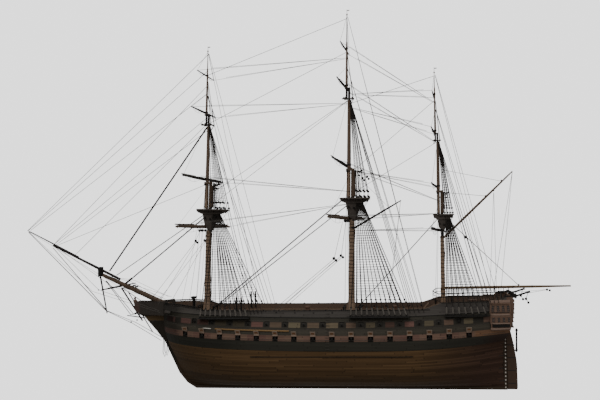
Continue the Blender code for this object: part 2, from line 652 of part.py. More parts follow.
def build_mast(name, m):
    """Everything that a mast carries, built upright and then raked about its foot."""
    topmast_x, topgallant_x = mast_lines(m)
    pieces = [build_lower_mast(name, m), build_top(name, m), build_topmast(name, m),
              build_crosstrees(name, m), build_topgallant_mast(name, m)]
    g0, g1 = m["gr"]
    royal_radius = between((m["tm_cap"] + 0.02, g0), (m["truck"], g1), m["royal"][0])
    pieces += [build_yard(YARD_NAMES[name], m["x"], m["lower"], lower_radius(m, m["lower"][0])),
               build_yard(name + "_topsail_yard", topmast_x, m["topsail"], m["tr"][0]),
               build_yard(name + "_topgallant_yard", topgallant_x, m["topgallant"], g0),
               build_yard(name + "_royal_yard", topgallant_x, m["royal"], royal_radius)]
    pieces += [build_jawed_spar(m, *row) for row in GAFFS[name]]
    step = bpy.data.objects.new(name + "_mast_step", None)
    bpy.context.scene.collection.objects.link(step)
    step.location = (m["x"], 0.0, m["foot"])
    step.rotation_euler = (0.0, math.radians(m["rake"]), 0.0)
    for piece in pieces:
        piece.parent = step
        piece.matrix_parent_inverse = Matrix.Translation((-m["x"], 0.0, -m["foot"]))


def in_mast_frame(m, point):
    """Where a real point lies before the mast is raked."""
    foot = Vector((m["x"], 0.0, m["foot"]))
    return foot + Matrix.Rotation(math.radians(-m["rake"]), 3, "Y") @ (Vector(point) - foot)


def build_jawed_spar(m, name, z, peak, radius, kind):
    """A boom or gaff whose collar turns on its mast; the origin is on the mast's axis."""
    x = m["x"]
    mast_r = lower_radius(m, z)
    spar = bmesh.new()
    lathe_into(spar, (x + mast_r + 0.0010, 0.0, z), in_mast_frame(m, peak),
               [(0.0, radius * 0.9), (0.3, radius), (0.7, radius * 0.85), (1.0, radius * 0.5)], 10)
    spar = make_object(name, spar, kind, (x, 0.0, z))
    outer = mast_r + 0.0026
    collar = bmesh.new()
    lathe_into(collar, (x, 0.0, z - 0.003), (x, 0.0, z + 0.003), [(0.0, outer), (1.0, outer)], 16)
    join_shape(spar, collar)
    return bore(spar, x, z, mast_r + 0.0005)


def build_stays():
    for name, (high, low) in STAYS.items():
        lathe(name, low, high, [(0.0, STAY_RADIUS), (1.0, STAY_RADIUS)], "rope", 6)


def main():
    for obj in list(bpy.data.objects):
        bpy.data.objects.remove(obj)
    hull = build_hull()
    cut_ports(hull)
    add_lids(hull)
    build_backbone()
    build_rudder()
    build_bow(hull)
    build_head()
    build_side_pieces()
    build_stern_gallery()
    for name, sizes in MASTS.items():
        build_mast(name, sizes)
    build_stays()


main()
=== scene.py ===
"""Looks for the three-masted ship of the line model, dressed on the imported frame."""
import json
import math
import bmesh
import bpy
from mathutils import Matrix, Vector
from mathutils.bvhtree import BVHTree


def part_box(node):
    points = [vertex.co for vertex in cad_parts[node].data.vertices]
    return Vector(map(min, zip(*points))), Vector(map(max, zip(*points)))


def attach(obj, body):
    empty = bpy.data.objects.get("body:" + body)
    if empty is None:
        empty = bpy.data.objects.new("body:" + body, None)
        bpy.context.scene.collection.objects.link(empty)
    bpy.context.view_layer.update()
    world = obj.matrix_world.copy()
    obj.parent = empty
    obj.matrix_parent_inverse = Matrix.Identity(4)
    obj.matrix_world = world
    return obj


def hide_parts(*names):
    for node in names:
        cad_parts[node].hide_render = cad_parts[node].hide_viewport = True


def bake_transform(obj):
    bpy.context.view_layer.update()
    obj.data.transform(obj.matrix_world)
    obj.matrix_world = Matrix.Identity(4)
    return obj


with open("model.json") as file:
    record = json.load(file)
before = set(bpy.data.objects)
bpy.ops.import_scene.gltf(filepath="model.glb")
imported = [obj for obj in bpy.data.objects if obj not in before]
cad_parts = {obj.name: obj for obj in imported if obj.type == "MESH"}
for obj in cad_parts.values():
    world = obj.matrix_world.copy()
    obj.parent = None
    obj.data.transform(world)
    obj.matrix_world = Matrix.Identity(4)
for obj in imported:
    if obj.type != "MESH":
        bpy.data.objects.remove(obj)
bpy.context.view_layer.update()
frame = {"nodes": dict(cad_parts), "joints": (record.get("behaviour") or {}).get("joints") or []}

# Camera, from the photograph's framing of the keel, masts and spars
CAMERA_PLACE = Vector((0.1858, -2.4525, 0.5190))
CAMERA_RIGHT = Vector((0.98911, 0.14502, -0.02491))
CAMERA_AHEAD = Vector((-0.14398, 0.98879, 0.03961))
FOCAL_PX = 750.0
FRAME_PX = 600.0

# Lines of the hull that the dressing follows: x, height
RAIL = [(-0.66, 0.2840), (-0.56, 0.2800), (-0.494, 0.2725), (-0.482, 0.2685), (-0.35, 0.2663),
        (-0.16, 0.2647), (0.238, 0.2640), (0.246, 0.2835), (0.455, 0.2865), (0.463, 0.2990), (0.52, 0.3000)]
DECK = [(-0.66, 0.2600), (-0.47, 0.2550), (-0.44, 0.2515), (-0.10, 0.2490), (0.238, 0.2490), (0.246, 0.2680),
        (0.52, 0.2720)]
# Gun ports: first and last place along the side, number, level amidships, half width, half height
LOWER_PORTS = (-0.534, 0.352, 16, 0.1845, 0.0080, 0.0075)
UPPER_PORTS = (-0.504, 0.322, 15, 0.2235, 0.0075, 0.0070)
LID_LEAN = 38.0
# Rise of the hull's lines from amidships, for each metre of length squared
SHEER_FORE = 0.054356
SHEER_AFT = 0.078125
SIDES = (("port", -1.0), ("starboard", 1.0))
YARDS = {"fore": ("fore_lower_yard", "fore_topsail_yard", "fore_topgallant_yard", "fore_royal_yard"),
         "main": ("main_lower_yard", "main_topsail_yard", "main_topgallant_yard", "main_royal_yard"),
         "mizzen": ("crossjack_yard", "mizzen_topsail_yard", "mizzen_topgallant_yard", "mizzen_royal_yard")}
JOINTS = {joint["child"]: joint for joint in frame["joints"]}


class Socket:
    """A shader socket that takes Python's arithmetic: each operator adds its Math node."""

    def __init__(self, finish, plug):
        self.finish = finish
        self.plug = plug

    def maths(self, operation, *values, clamp=False):
        return self.finish.node("Math", {"operation": operation, "use_clamp": clamp}, dict(enumerate(values)))

    def __add__(self, other):
        return self.maths("ADD", self, other)

    def __sub__(self, other):
        return self.maths("SUBTRACT", self, other)

    def __mul__(self, other):
        return self.maths("MULTIPLY", self, other)

    def __truediv__(self, other):
        return self.maths("DIVIDE", self, other)

    def __rsub__(self, other):
        return self.maths("SUBTRACT", other, self)

    def __abs__(self):
        return self.maths("ABSOLUTE", self)

    __radd__ = __add__
    __rmul__ = __mul__

    def floor(self):
        return self.maths("FLOOR", self)

    def fract(self):
        return self.maths("FRACT", self)

    def least(self, other):
        return self.maths("MINIMUM", self, other)

    def most(self, other):
        return self.maths("MAXIMUM", self, other)

    def rise(self, edge, soft):
        """From 0 below an edge to 1 above it."""
        return self.maths("MULTIPLY_ADD", self, 1.0 / soft, 0.5 - edge / soft, clamp=True)

    def band(self, low, high, soft):
        """1 between two edges and 0 outside them."""
        return self.rise(low, soft) * (1.0 - self.rise(high, soft))


class Finish:
    """One material: nodes are made by node(), and dress() feeds the shader."""

    def __init__(self, name, roughness, specular):
        self.material = bpy.data.materials.new(name)
        self.material.use_nodes = True
        self.tree = self.material.node_tree
        self.shader = self.tree.nodes["Principled BSDF"]
        self.shader.inputs["Roughness"].default_value = roughness
        self.shader.inputs["Specular IOR Level"].default_value = specular

    def feed(self, plug, value):
        if isinstance(value, Socket):
            self.tree.links.new(value.plug, plug)
        elif plug.type == "RGBA":
            plug.default_value = (*value, 1.0)
        else:
            plug.default_value = value

    def node(self, kind, settings=(), inputs=(), out=0):
        """A new node with its settings and inputs, as the socket of one of its outputs."""
        node = self.tree.nodes.new("ShaderNode" + kind)
        for key, value in dict(settings).items():
            setattr(node, key, value)
        for key, value in dict(inputs).items():
            self.feed(node.inputs[key], value)
        return Socket(self, node.outputs[out])

    def place(self):
        """Object coordinates, whole and as x, y, z."""
        whole = self.node("TexCoord", out=3)
        return whole, *(self.node("SeparateXYZ", {}, {0: whole}, out=k) for k in range(3))

    def stretch(self, vector, scale):
        """One vector times another, part by part."""
        return self.node("VectorMath", {"operation": "MULTIPLY"}, {0: vector, 1: scale})

    def noise(self, vector, scale, detail=3.0, roughness=0.55):
        return self.node("TexNoise", {}, {"Vector": vector, "Scale": scale, "Detail": detail,
                                          "Roughness": roughness})

    def chance(self, value):
        """One fixed random number for each whole value."""
        return self.node("TexWhiteNoise", {"noise_dimensions": "1D"}, {"W": value})

    def mix(self, share, a, b):
        return self.node("Mix", {"data_type": "RGBA"}, {0: share, 6: a, 7: b}, out=2)

    def shade(self, colour, amount):
        """A colour times a number."""
        return self.stretch(colour, self.node("CombineXYZ", {}, {0: amount, 1: amount, 2: amount}))

    def dress(self, colour, roughness, height, depth, strength):
        """Feed the shader: the height is raised as bumps of a given depth."""
        bump = self.node("Bump", {}, {"Height": height, "Distance": depth, "Strength": strength})
        for key, value in (("Base Color", colour), ("Roughness", roughness), ("Normal", bump)):
            self.feed(self.shader.inputs[key], value)
        return self.material


def plank_lines(paint, across, along, width, length):
    """Plank seams and butts: a mask that is 1 in the seams, and each plank's own random number."""
    row = (across / width).floor()
    run = along / length + paint.chance(row) * 5.0
    seam = abs((across / width).fract() - 0.5).rise(0.44, 0.07)
    butt = abs(run.fract() - 0.5).rise(0.493, 0.008)
    return seam.most(butt), paint.chance(row * 17.3 + run.floor() * 3.7)


def ladder(paint, value, steps, soft):
    """A colour that changes at each (edge, colour) going up."""
    colour = steps[0][1]
    for edge, upper in steps[1:]:
        colour = paint.mix(value.rise(edge, soft), colour, upper)
    return colour


def port_bays(x, ports):
    """A count of the bays of one tier of ports, and the distance from the middle of the bay."""
    first, last, number = ports[:3]
    pitch = (last - first) / (number - 1)
    bay = (x - (first - pitch / 2)) / pitch
    return bay, abs(bay.fract() - 0.5) * pitch


def port_mask(x, level, ports, more):
    """1 inside the gun ports of one tier, each grown a little: where their painted shade goes."""
    first, last, number, middle, half_wide, half_high = ports
    half_bay = (last - first) / (number - 1) / 2
    edge = 0.0006
    within = x.band(first - half_bay, last + half_bay, 0.0005)
    wide = 1.0 - port_bays(x, ports)[1].rise(half_wide + more, edge)
    high = 1.0 - abs(level - middle).rise(half_high + more, edge)
    return wide * high * within


def hull_finish():
    """Varnished bottom planking with painted shade, black wale, port strakes, grey bulwark and planked decks;
    painted shadow under the channels and painted shade in the ports.
    """
    paint = Finish("hull_planking_and_paint", 0.55, 0.12)
    whole, x, y, z = paint.place()
    # Height along the planking: level at the keel, and following the whole sheer from the wale up
    rise = x * x * (SHEER_FORE + (SHEER_AFT - SHEER_FORE) * x.rise(0.0, 0.001))
    fan_foot, fan = 0.03, 9.09
    level = z.least((z + fan_foot * fan * rise) / (1.0 + fan * rise)).most(z - rise)
    seam, plank = plank_lines(paint, level, x, 0.0046, 0.210)
    grain = paint.noise(paint.stretch(whole, (14.0, 90.0, 210.0)), 6.0, 4.0, 0.6)
    wear = paint.noise(whole, 9.0, 3.0)
    # Bottom planking: golden and ruddy aft, with painted shade that keeps it lighter amidships and darkens it
    # towards both ends and down under the turn of the bilge
    lit_amidships = 1.0 - abs(x + 0.03).rise(0.40, 0.42)
    gold = paint.mix(0.08 + plank * 0.38 + grain * 0.38, (0.108, 0.062, 0.029), (0.232, 0.137, 0.064))
    # Painted shade: darker towards both ends, and lower down under the turn of the bilge
    gold = paint.shade(gold, (0.573 + 0.427 * lit_amidships) * (0.46 + 0.62 * level.rise(0.07, 0.11)))
    ruddy = paint.shade((0.076, 0.041, 0.030), 0.62 + 0.5 * plank + 0.4 * grain)
    gold = paint.mix(x.rise(0.30, 0.20) * 0.85, gold, ruddy)
    wale = paint.mix(x.rise(-0.36, 0.10), (0.037, 0.036, 0.028), (0.054, 0.051, 0.040))
    wale = paint.mix(x.rise(0.41, 0.05), wale, (0.058, 0.036, 0.028))
    # Upper tier: blocks of colour one bay apart, each a little different, with a painted shadow under the
    # fore and main channels and darker at the bow end
    bay, beside = port_bays(x, LOWER_PORTS)
    chance = paint.chance(bay.floor())
    blocks = paint.mix(chance.rise(0.5, 0.4), (0.200, 0.105, 0.085), (0.185, 0.150, 0.095))
    blocks = paint.shade(blocks, 0.8 + 0.4 * paint.chance(bay.floor() + 7.0))
    blocks = paint.mix(x.rise(-0.505, 0.004), (0.150, 0.080, 0.067), blocks)
    # Painted shadow of the fore and main channels on the blocks under them; the blocks at the bow end darker
    channel_shadow_and_bow_dark = (0.62 * x.band(-0.515, -0.335, 0.01) + 0.3 * x.band(0.0, 0.17, 0.01)
           + 0.7 * (1.0 - x.rise(-0.583, 0.004)))
    blocks = paint.shade(blocks, 1.0 - channel_shadow_and_bow_dark)
    tier = (beside + 0.0045 * x.rise(-0.02, 0.02)).rise(0.0185, 0.0012)
    tier = paint.mix(tier, blocks, (0.046, 0.041, 0.033))
    strip = paint.mix(chance, (0.195, 0.108, 0.086), (0.240, 0.152, 0.108))
    strip = paint.mix(x.rise(0.37, 0.01), strip, (0.250, 0.138, 0.080))
    # From the keel up: planking, wale, strip between the lower ports, two dark strakes, the blocks between
    # the upper ports, a dark strake, the sheer strake and the bulwark
    steps = [(0.0, gold), (0.1432, wale), (0.1730, strip), (0.1905, (0.080, 0.070, 0.053)),
             (0.2090, (0.060, 0.053, 0.041)), (0.2135, tier), (0.2285, (0.062, 0.056, 0.043)),
             (0.2415, (0.028, 0.026, 0.023)), (0.2440, (0.108, 0.096, 0.085))]
    side = ladder(paint, level, steps, 0.0012)
    side = paint.shade(side, 0.80 + 0.22 * plank + 0.16 * wear)
    side = paint.mix(seam * 0.55, side, (0.020, 0.014, 0.010))
    bow = (1.0 - x.rise(-0.560, 0.03)) * level.rise(0.1740, 0.002)
    side = paint.shade(side, 1.0 - 0.46 * bow)
    side = paint.mix(x.rise(0.470, 0.002) * level.rise(0.2000, 0.002), side, (0.200, 0.125, 0.092))
    # Scuppers: small near-black spots, painted shade of the holes
    scupper_hole_shade = (1.0 - beside.rise(0.0026, 0.0010)) * level.band(0.2555, 0.2590, 0.0008)
    side = paint.mix(scupper_hole_shade * x.band(-0.325, -0.03, 0.002) * 0.85, side, (0.012, 0.011, 0.010))
    # Ports: near black, painted shade in the openings; the lower ones reach down behind their lids
    sill = 0.0022
    first, last, number, middle, half_wide, half_high = LOWER_PORTS
    lower = port_mask(x, level, (first, last, number, middle - sill, half_wide, half_high + sill), 0.0004)
    side = paint.mix(lower.most(port_mask(x, level, UPPER_PORTS, 0.0002)), side, (0.014, 0.012, 0.010))
    # What faces inwards is the bulwark's lining, and what faces up is deck
    normal = paint.node("NewGeometry", out=1)
    facing_y, facing_z = (paint.node("SeparateXYZ", {}, {0: normal}, out=k) for k in (1, 2))
    inner = (1.0 - (facing_y * y).rise(-0.004, 0.003)) * z.rise(0.2455, 0.0004)
    colour = paint.mix(inner, side, paint.shade((0.190, 0.132, 0.098), 0.75 + 0.4 * grain))
    deck_seam, deck_plank = plank_lines(paint, y, x, 0.0042, 0.150)
    boards = paint.mix(deck_plank * 0.7 + grain * 0.3, (0.140, 0.088, 0.056), (0.215, 0.142, 0.094))
    boards = paint.mix(deck_seam * 0.8, boards, (0.05, 0.035, 0.025))
    colour = paint.mix(facing_z.rise(0.8, 0.1) * z.rise(0.2450, 0.001), colour, boards)
    return paint.dress(colour, 0.42 + 0.25 * wear, grain * 0.25 - seam * 0.7, 0.0004, 0.5)


def wood_finish(name, dark, light, run=(260.0, 260.0, 12.0)):
    """Varnished wood: its grain runs the way that it's stretched least."""
    paint = Finish(name, 0.5, 0.2)
    whole = paint.place()[0]
    grain = paint.noise(paint.stretch(whole, run), 4.0, 4.0, 0.62)
    patch = paint.noise(whole, 22.0, 2.0)
    colour = paint.mix(grain * 0.75 + patch * 0.35 - 0.05, dark, light)
    return paint.dress(colour, 0.4 + 0.2 * patch, grain, 0.00025, 0.5)


def paint_finish(name, colour, roughness=0.5, worn=None, specular=0.12):
    """Brushed paint on wood, a little uneven and worn."""
    paint = Finish(name, roughness, specular)
    whole = paint.place()[0]
    brush = paint.noise(paint.stretch(whole, (40.0, 160.0, 160.0)), 4.0, 3.0)
    patch = paint.noise(whole, 45.0, 4.0, 0.65)
    tone = paint.shade(colour, 0.72 + 0.55 * patch)
    if worn:
        tone = paint.mix(patch.rise(0.66, 0.12) * 0.6, tone, worn)
    return paint.dress(tone, roughness - 0.08 + 0.2 * brush, brush * 0.6 + patch * 0.4, 0.00015, 0.4)


def rope_finish(name, colour, pitch=0.0030):
    """Laid rope: the strands show as slanting ridges."""
    paint = Finish(name, 0.85, 0.1)
    whole = paint.place()[0]
    slanting = paint.node("Mapping", {}, {"Vector": whole, "Rotation": (0.6, 0.5, 0.4)})
    lay = paint.node("TexWave", {"bands_direction": "DIAGONAL"},
                     {"Vector": slanting, "Scale": 0.62 / pitch, "Distortion": 0.6, "Detail": 1.0})
    fibre = paint.noise(whole, 900.0, 2.0)
    tone = paint.shade(colour, 0.55 + 0.45 * lay + 0.35 * fibre)
    return paint.dress(tone, 0.85, lay * 0.7 + fibre * 0.3, 0.0002, 0.6)


def mast_finish(name, dark_from, dark_to):
    """Brown varnished mast with a black doubling between two heights."""
    paint = Finish(name, 0.5, 0.2)
    whole, _, _, z = paint.place()
    grain = paint.noise(paint.stretch(whole, (300.0, 300.0, 12.0)), 4.0, 4.0, 0.62)
    wood = paint.mix(grain * 0.9, (0.130, 0.084, 0.056), (0.250, 0.175, 0.120))
    black = paint.shade((0.032, 0.026, 0.024), 0.7 + grain)
    colour = paint.mix(z.band(dark_from, dark_to, 0.004), wood, black)
    return paint.dress(colour, 0.42 + 0.2 * grain, grain, 0.0002, 0.5)


def head_finish(name):
    """Near-black head timbers, purple-brown towards the figurehead, with a golden panel low down."""
    paint = Finish(name, 0.55, 0.12)
    whole, x, _, z = paint.place()
    grain = paint.noise(paint.stretch(whole, (14.0, 260.0, 200.0)), 4.0, 4.0, 0.62)
    colour = paint.mix(x.rise(-0.726, 0.010), (0.128, 0.078, 0.067), (0.069, 0.059, 0.051))
    gold = z.band(0.2250, 0.2415, 0.0016) * x.band(-0.716, -0.640, 0.004)
    colour = paint.mix(gold, colour, (0.150, 0.098, 0.050))
    colour = paint.mix(z.rise(0.2235, 0.002), (0.040, 0.034, 0.026), colour)
    colour = paint.mix(x.rise(-0.600, 0.01) * (1.0 - z.rise(0.2, 0.01)), colour, (0.075, 0.052, 0.036))
    return paint.dress(paint.shade(colour, 0.65 + 0.7 * grain), 0.45 + 0.2 * grain, grain, 0.00025, 0.5)


def at(points, x):
    """Straight interpolation through (x, value) points."""
    for (x0, y0), (x1, y1) in zip(points, points[1:]):
        if x <= x1:
            return y0 + (y1 - y0) * max(x - x0, 0.0) / (x1 - x0)
    return points[-1][1]


def spread(first, last, number):
    """Even steps from first to last, both included."""
    return [first + (last - first) * k / (number - 1) for k in range(number)]


def level_height(level, x):
    """The height at x of a line that lies at a level amidships and follows the sheer."""
    return level + (SHEER_FORE if x < 0.0 else SHEER_AFT) * x * x


def node_tree_of(name):
    """A search tree over a CAD node's faces."""
    mesh = frame["nodes"][name].data
    return BVHTree.FromPolygons([v.co for v in mesh.vertices], [tuple(p.vertices) for p in mesh.polygons])


HULL = node_tree_of("hull")


def half_breadth(x, z):
    """Half the hull's breadth outside: the middle one of five looks, to get past ports and lids."""
    found = []
    for shift in spread(-0.026, 0.026, 5):
        hit = HULL.ray_cast(Vector((x + shift, -0.5, z)), Vector((0.0, 1.0, 0.0)))[0]
        if hit is not None:
            found.append(-hit.y)
    if len(found) < 5:
        hit = HULL.ray_cast(Vector((x, -0.5, z)), Vector((0.0, 1.0, 0.0)))[0]
        return -hit.y if hit is not None else 0.01
    return sorted(found)[2]


def on_side(x, z, side, out=0.0):
    """A point on the hull's side, or a little out from it."""
    return Vector((x, side * (half_breadth(x, z) + out), z))


def side_matrix(x, z, side, out=0.0):
    """A frame on the hull's side: local x runs aft, y outwards, z up the planking."""
    aft = (on_side(x + 0.01, z, side) - on_side(x - 0.01, z, side)).normalized()
    up = (on_side(x, z + 0.006, side) - on_side(x, z - 0.006, side)).normalized()
    outward = aft.cross(up).normalized()
    if outward.y * side < 0:
        outward = -outward
    up = outward.cross(aft).normalized()
    if up.z < 0:
        up = -up
    return axes(on_side(x, z, side) + outward * out, aft, outward, up)


def axes(place, x, y, z):
    """A frame at a place with the given directions as its own x, y and z."""
    return Matrix.Translation(place) @ Matrix((x, y, z)).transposed().to_4x4()


def tip(node, direction):
    """The end of a CAD spar in one direction."""
    way = Vector(direction)
    points = [v.co for v in frame["nodes"][node].data.vertices]
    far = max(p.dot(way) for p in points)
    ends = [p for p in points if p.dot(way) > far - 0.002]
    return sum(ends, Vector()) / len(ends)


def on_mast(yard, z):
    """The point at a height on the mast axis that a yard turns round."""
    joint = JOINTS[yard]
    axis = Vector(joint["axis"])
    place = Vector(joint["pos_m"])
    return place + axis * ((z - place.z) / axis.z)


def arm(yard, share):
    """A point along a yard: -1 is its port end, 1 its starboard end."""
    port = tip(yard, (0, -1, 0))
    starboard = tip(yard, (0, 1, 0))
    return port.lerp(starboard, (share + 1.0) / 2.0)


def piece(name, bm, finishes, body="root", smooth=True):
    """Make a bmesh a finished object that rides on a body."""
    bmesh.ops.recalc_face_normals(bm, faces=bm.faces)
    mesh = bpy.data.meshes.new(name)
    bm.to_mesh(mesh)
    bm.free()
    for finish in finishes if isinstance(finishes, (list, tuple)) else [finishes]:
        mesh.materials.append(finish)
    if smooth:
        mesh.shade_smooth()
        mesh.set_sharp_from_angle(angle=math.radians(35.0))
    obj = bpy.data.objects.new(name, mesh)
    bpy.context.scene.collection.objects.link(obj)
    if body:
        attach(obj, body)
    return obj


def as_frame(where):
    """A place as an upright frame; a frame stays as it is."""
    return where if isinstance(where, Matrix) else Matrix.Translation(where)


def box(bm, size, where, soft=0.0, material=0):
    """A block with softened edges."""
    made = bmesh.ops.create_cube(bm, size=1.0,
                                 matrix=as_frame(where) @ Matrix.Diagonal((*size, 1.0)))["verts"]
    for face in {f for v in made for f in v.link_faces}:
        face.material_index = material
    if soft:
        edges = list({e for v in made for e in v.link_edges})
        bmesh.ops.bevel(bm, geom=edges, offset=soft, segments=1, profile=0.5, affect="EDGES", material=-1)


def grow(bm, face, step):
    """Extrude a face by a step: the new end face and its corners."""
    made = bmesh.ops.extrude_face_region(bm, geom=[face])["geom"]
    verts = [g for g in made if isinstance(g, bmesh.types.BMVert)]
    bmesh.ops.translate(bm, verts=verts, vec=step)
    return next(g for g in made if isinstance(g, bmesh.types.BMFace)), verts


def turned(bm, where, profile, segments=10, material=0):
    """A turned shape along local z: profile is (height, radius) pairs."""
    matrix = as_frame(where)
    z, radius = profile[0]
    ring = bmesh.ops.create_circle(bm, cap_ends=True, radius=radius, segments=segments,
                                   matrix=matrix @ Matrix.Translation((0, 0, z)))["verts"]
    face = next(f for f in ring[0].link_faces if len(f.verts) == segments)
    made = {face}
    axis = (matrix.to_3x3() @ Vector((0, 0, 1))).normalized()
    for next_z, next_r in profile[1:]:
        face, verts = grow(bm, face, axis * (next_z - z))
        centre = matrix @ Vector((0, 0, next_z))
        for v in verts:
            v.co = centre + (v.co - centre) * (next_r / radius)
        made.update(f for v in verts for f in v.link_faces)
        z, radius = next_z, next_r
    for f in made:
        f.material_index = material


def facing(place, direction):
    """A frame at a place whose local z points along a direction."""
    turn = Vector(direction).normalized().to_track_quat("Z", "Y").to_matrix().to_4x4()
    return Matrix.Translation(place) @ turn


def rod(bm, a, b, radius, segments=8, taper=1.0, material=0):
    """A round bar between two points."""
    a, b = Vector(a), Vector(b)
    turned(bm, facing(a, b - a), [(0.0, radius), ((b - a).length, radius * taper)], segments, material)


def sweep(bm, outline, path, material=0):
    """Draw a flat outline, given as offsets, along a path, keeping it upright."""
    face = bm.faces.new([bm.verts.new(path[0] + offset) for offset in outline])
    made = {face}
    for a, b in zip(path, path[1:]):
        face, verts = grow(bm, face, b - a)
        made.update(f for v in verts for f in v.link_faces)
    for f in made:
        if f.is_valid:
            f.material_index = material


def board(bm, outline, thickness):
    """A flat board: an outline of points, thickened."""
    grow(bm, bm.faces.new([bm.verts.new(point) for point in outline]), thickness)


def ropes(name, runs, radius, finish, body="root", sides=1):
    """Round ropes along lists of points, as one mesh."""
    curve = bpy.data.curves.new(name, "CURVE")
    curve.dimensions = "3D"
    curve.bevel_depth = radius
    curve.bevel_resolution = sides
    curve.use_fill_caps = True
    for run in runs:
        spline = curve.splines.new("POLY")
        spline.points.add(len(run) - 1)
        for point, place in zip(spline.points, run):
            point.co = (*place, 1.0)
    holder = bpy.data.objects.new(name + "_run", curve)
    bpy.context.scene.collection.objects.link(holder)
    graph = bpy.context.evaluated_depsgraph_get()
    mesh = bpy.data.meshes.new_from_object(holder.evaluated_get(graph))
    bpy.data.objects.remove(holder)
    mesh.name = name
    mesh.materials.clear()
    mesh.materials.append(finish)
    mesh.shade_smooth()
    obj = bpy.data.objects.new(name, mesh)
    bpy.context.scene.collection.objects.link(obj)
    if body:
        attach(obj, body)
    return obj


def along(a, b, number=9):
    """A straight run between two points."""
    return [a.lerp(b, t) for t in spread(0.0, 1.0, number)]


def soft_ropes(name, runs, radius, finish, sides=1):
    """Ropes baked where they stand, fast to no body."""
    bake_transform(ropes(name, runs, radius, finish, body=None, sides=sides))


def sag(a, b, drop, number):
    """A slack run between two points."""
    return [a.lerp(b, t) - Vector((0, 0, 4.0 * drop * t * (1.0 - t))) for t in spread(0.0, 1.0, number)]


# Grain stretched along the ship's length; a wood's grain runs up and down otherwise
GRAIN_AFT = (12.0, 260.0, 260.0)
PLANKING = hull_finish()
HEAD_PAINT = head_finish("head_timbers")
KEEL_TIMBER = wood_finish("keel_timber", (0.040, 0.030, 0.023), (0.085, 0.060, 0.044), (14.0, 260.0, 200.0))
RUDDER_TIMBER = wood_finish("rudder_timber", (0.064, 0.040, 0.028), (0.146, 0.092, 0.062))
VARNISHED = wood_finish("varnished_spar", (0.150, 0.090, 0.045), (0.260, 0.170, 0.090), GRAIN_AFT)
GOLDEN_SPAR = wood_finish("golden_side_spar", (0.260, 0.150, 0.062), (0.420, 0.255, 0.115), GRAIN_AFT)
MAST_WOOD = wood_finish("mast_fish_wood", (0.272, 0.178, 0.119), (0.528, 0.370, 0.252))
TOPMAST_WOOD = wood_finish("topmast_varnish", (0.130, 0.084, 0.058), (0.270, 0.184, 0.128))
BROWN_SPAR = wood_finish("brown_spar", (0.105, 0.066, 0.043), (0.200, 0.136, 0.092), (12.0, 260.0, 200.0))
BLACK_SPAR = paint_finish("black_spar_paint", (0.034, 0.028, 0.026), worn=(0.090, 0.060, 0.045))
BLACK_TRIM = paint_finish("black_trim_paint", (0.026, 0.024, 0.022), 0.45)
TOP_DARK = paint_finish("dark_top_paint", (0.112, 0.093, 0.080))
GREY_TRIM = paint_finish("grey_trim_paint", (0.110, 0.096, 0.085))
CARVING = wood_finish("carved_work", (0.158, 0.095, 0.067), (0.300, 0.187, 0.133), (30.0, 120.0, 160.0))
PALE_TRIM = wood_finish("pale_trim", (0.240, 0.160, 0.110), (0.360, 0.250, 0.180), GRAIN_AFT)
LID_TAN = wood_finish("lid_frame_wood", (0.300, 0.215, 0.160), (0.430, 0.315, 0.235), GRAIN_AFT)
LID_ORANGE = wood_finish("lid_centre_wood", (0.210, 0.098, 0.045), (0.300, 0.150, 0.070), GRAIN_AFT)
GUN_IRON = paint_finish("gun_iron", (0.030, 0.028, 0.027), 0.4, specular=0.4)
PANE = paint_finish("window_panes", (0.030, 0.034, 0.038), 0.15, specular=0.5)
DARK_ROPE = rope_finish("tarred_rope", (0.042, 0.036, 0.032))
GREY_ROPE = rope_finish("grey_rope", (0.130, 0.117, 0.105), 0.0020)
LANYARD_ROPE = rope_finish("lanyard_rope", (0.200, 0.178, 0.155), 0.0016)
BINDING = rope_finish("mast_binding_rope", (0.150, 0.104, 0.074), 0.0012)
WHITE_MARK = paint_finish("white_draught_marks", (0.80, 0.74, 0.66))
COURSE = wood_finish("light_top_course", (0.290, 0.198, 0.150), (0.440, 0.312, 0.245), (12.0, 200.0, 260.0))
PORT_PAINT = paint_finish("half_port_paint", (0.044, 0.039, 0.032))
# Heights on each mast: top, lower cap, crosstrees, topmast cap, truck
MAST_TOPS = {"fore": (0.594, 0.684, 0.880, 0.914, 1.129), "main": (0.617, 0.712, 0.946, 0.980, 1.223),
             "mizzen": (0.556, 0.631, 0.796, 0.818, 1.015)}
# Channels: first and last deadeye along the side, number, reach from the side
CHANNELS = {"fore": (-0.480, -0.328, 10, 0.0205), "main": (-0.003, 0.168, 11, 0.0205),
            "mizzen": (0.287, 0.404, 7, 0.0165)}
# Radius of the topmast's heel, thickness of the lower mast's fishes, and how far ahead of the axis they sit
MAST_GIRTHS = {"fore": (0.0056, 0.0026, 0.0030), "main": (0.0066, 0.0020, 0.0026),
               "mizzen": (0.0050, 0.0010, 0.0010)}
TOP_SCALES = {"fore": 1.0, "main": 1.0, "mizzen": 0.72}
TOP_SHROUDS = 4
RATLINE_STEP = 0.0082
HOOP_STEP = 0.0118
EYES_APART = 0.0255


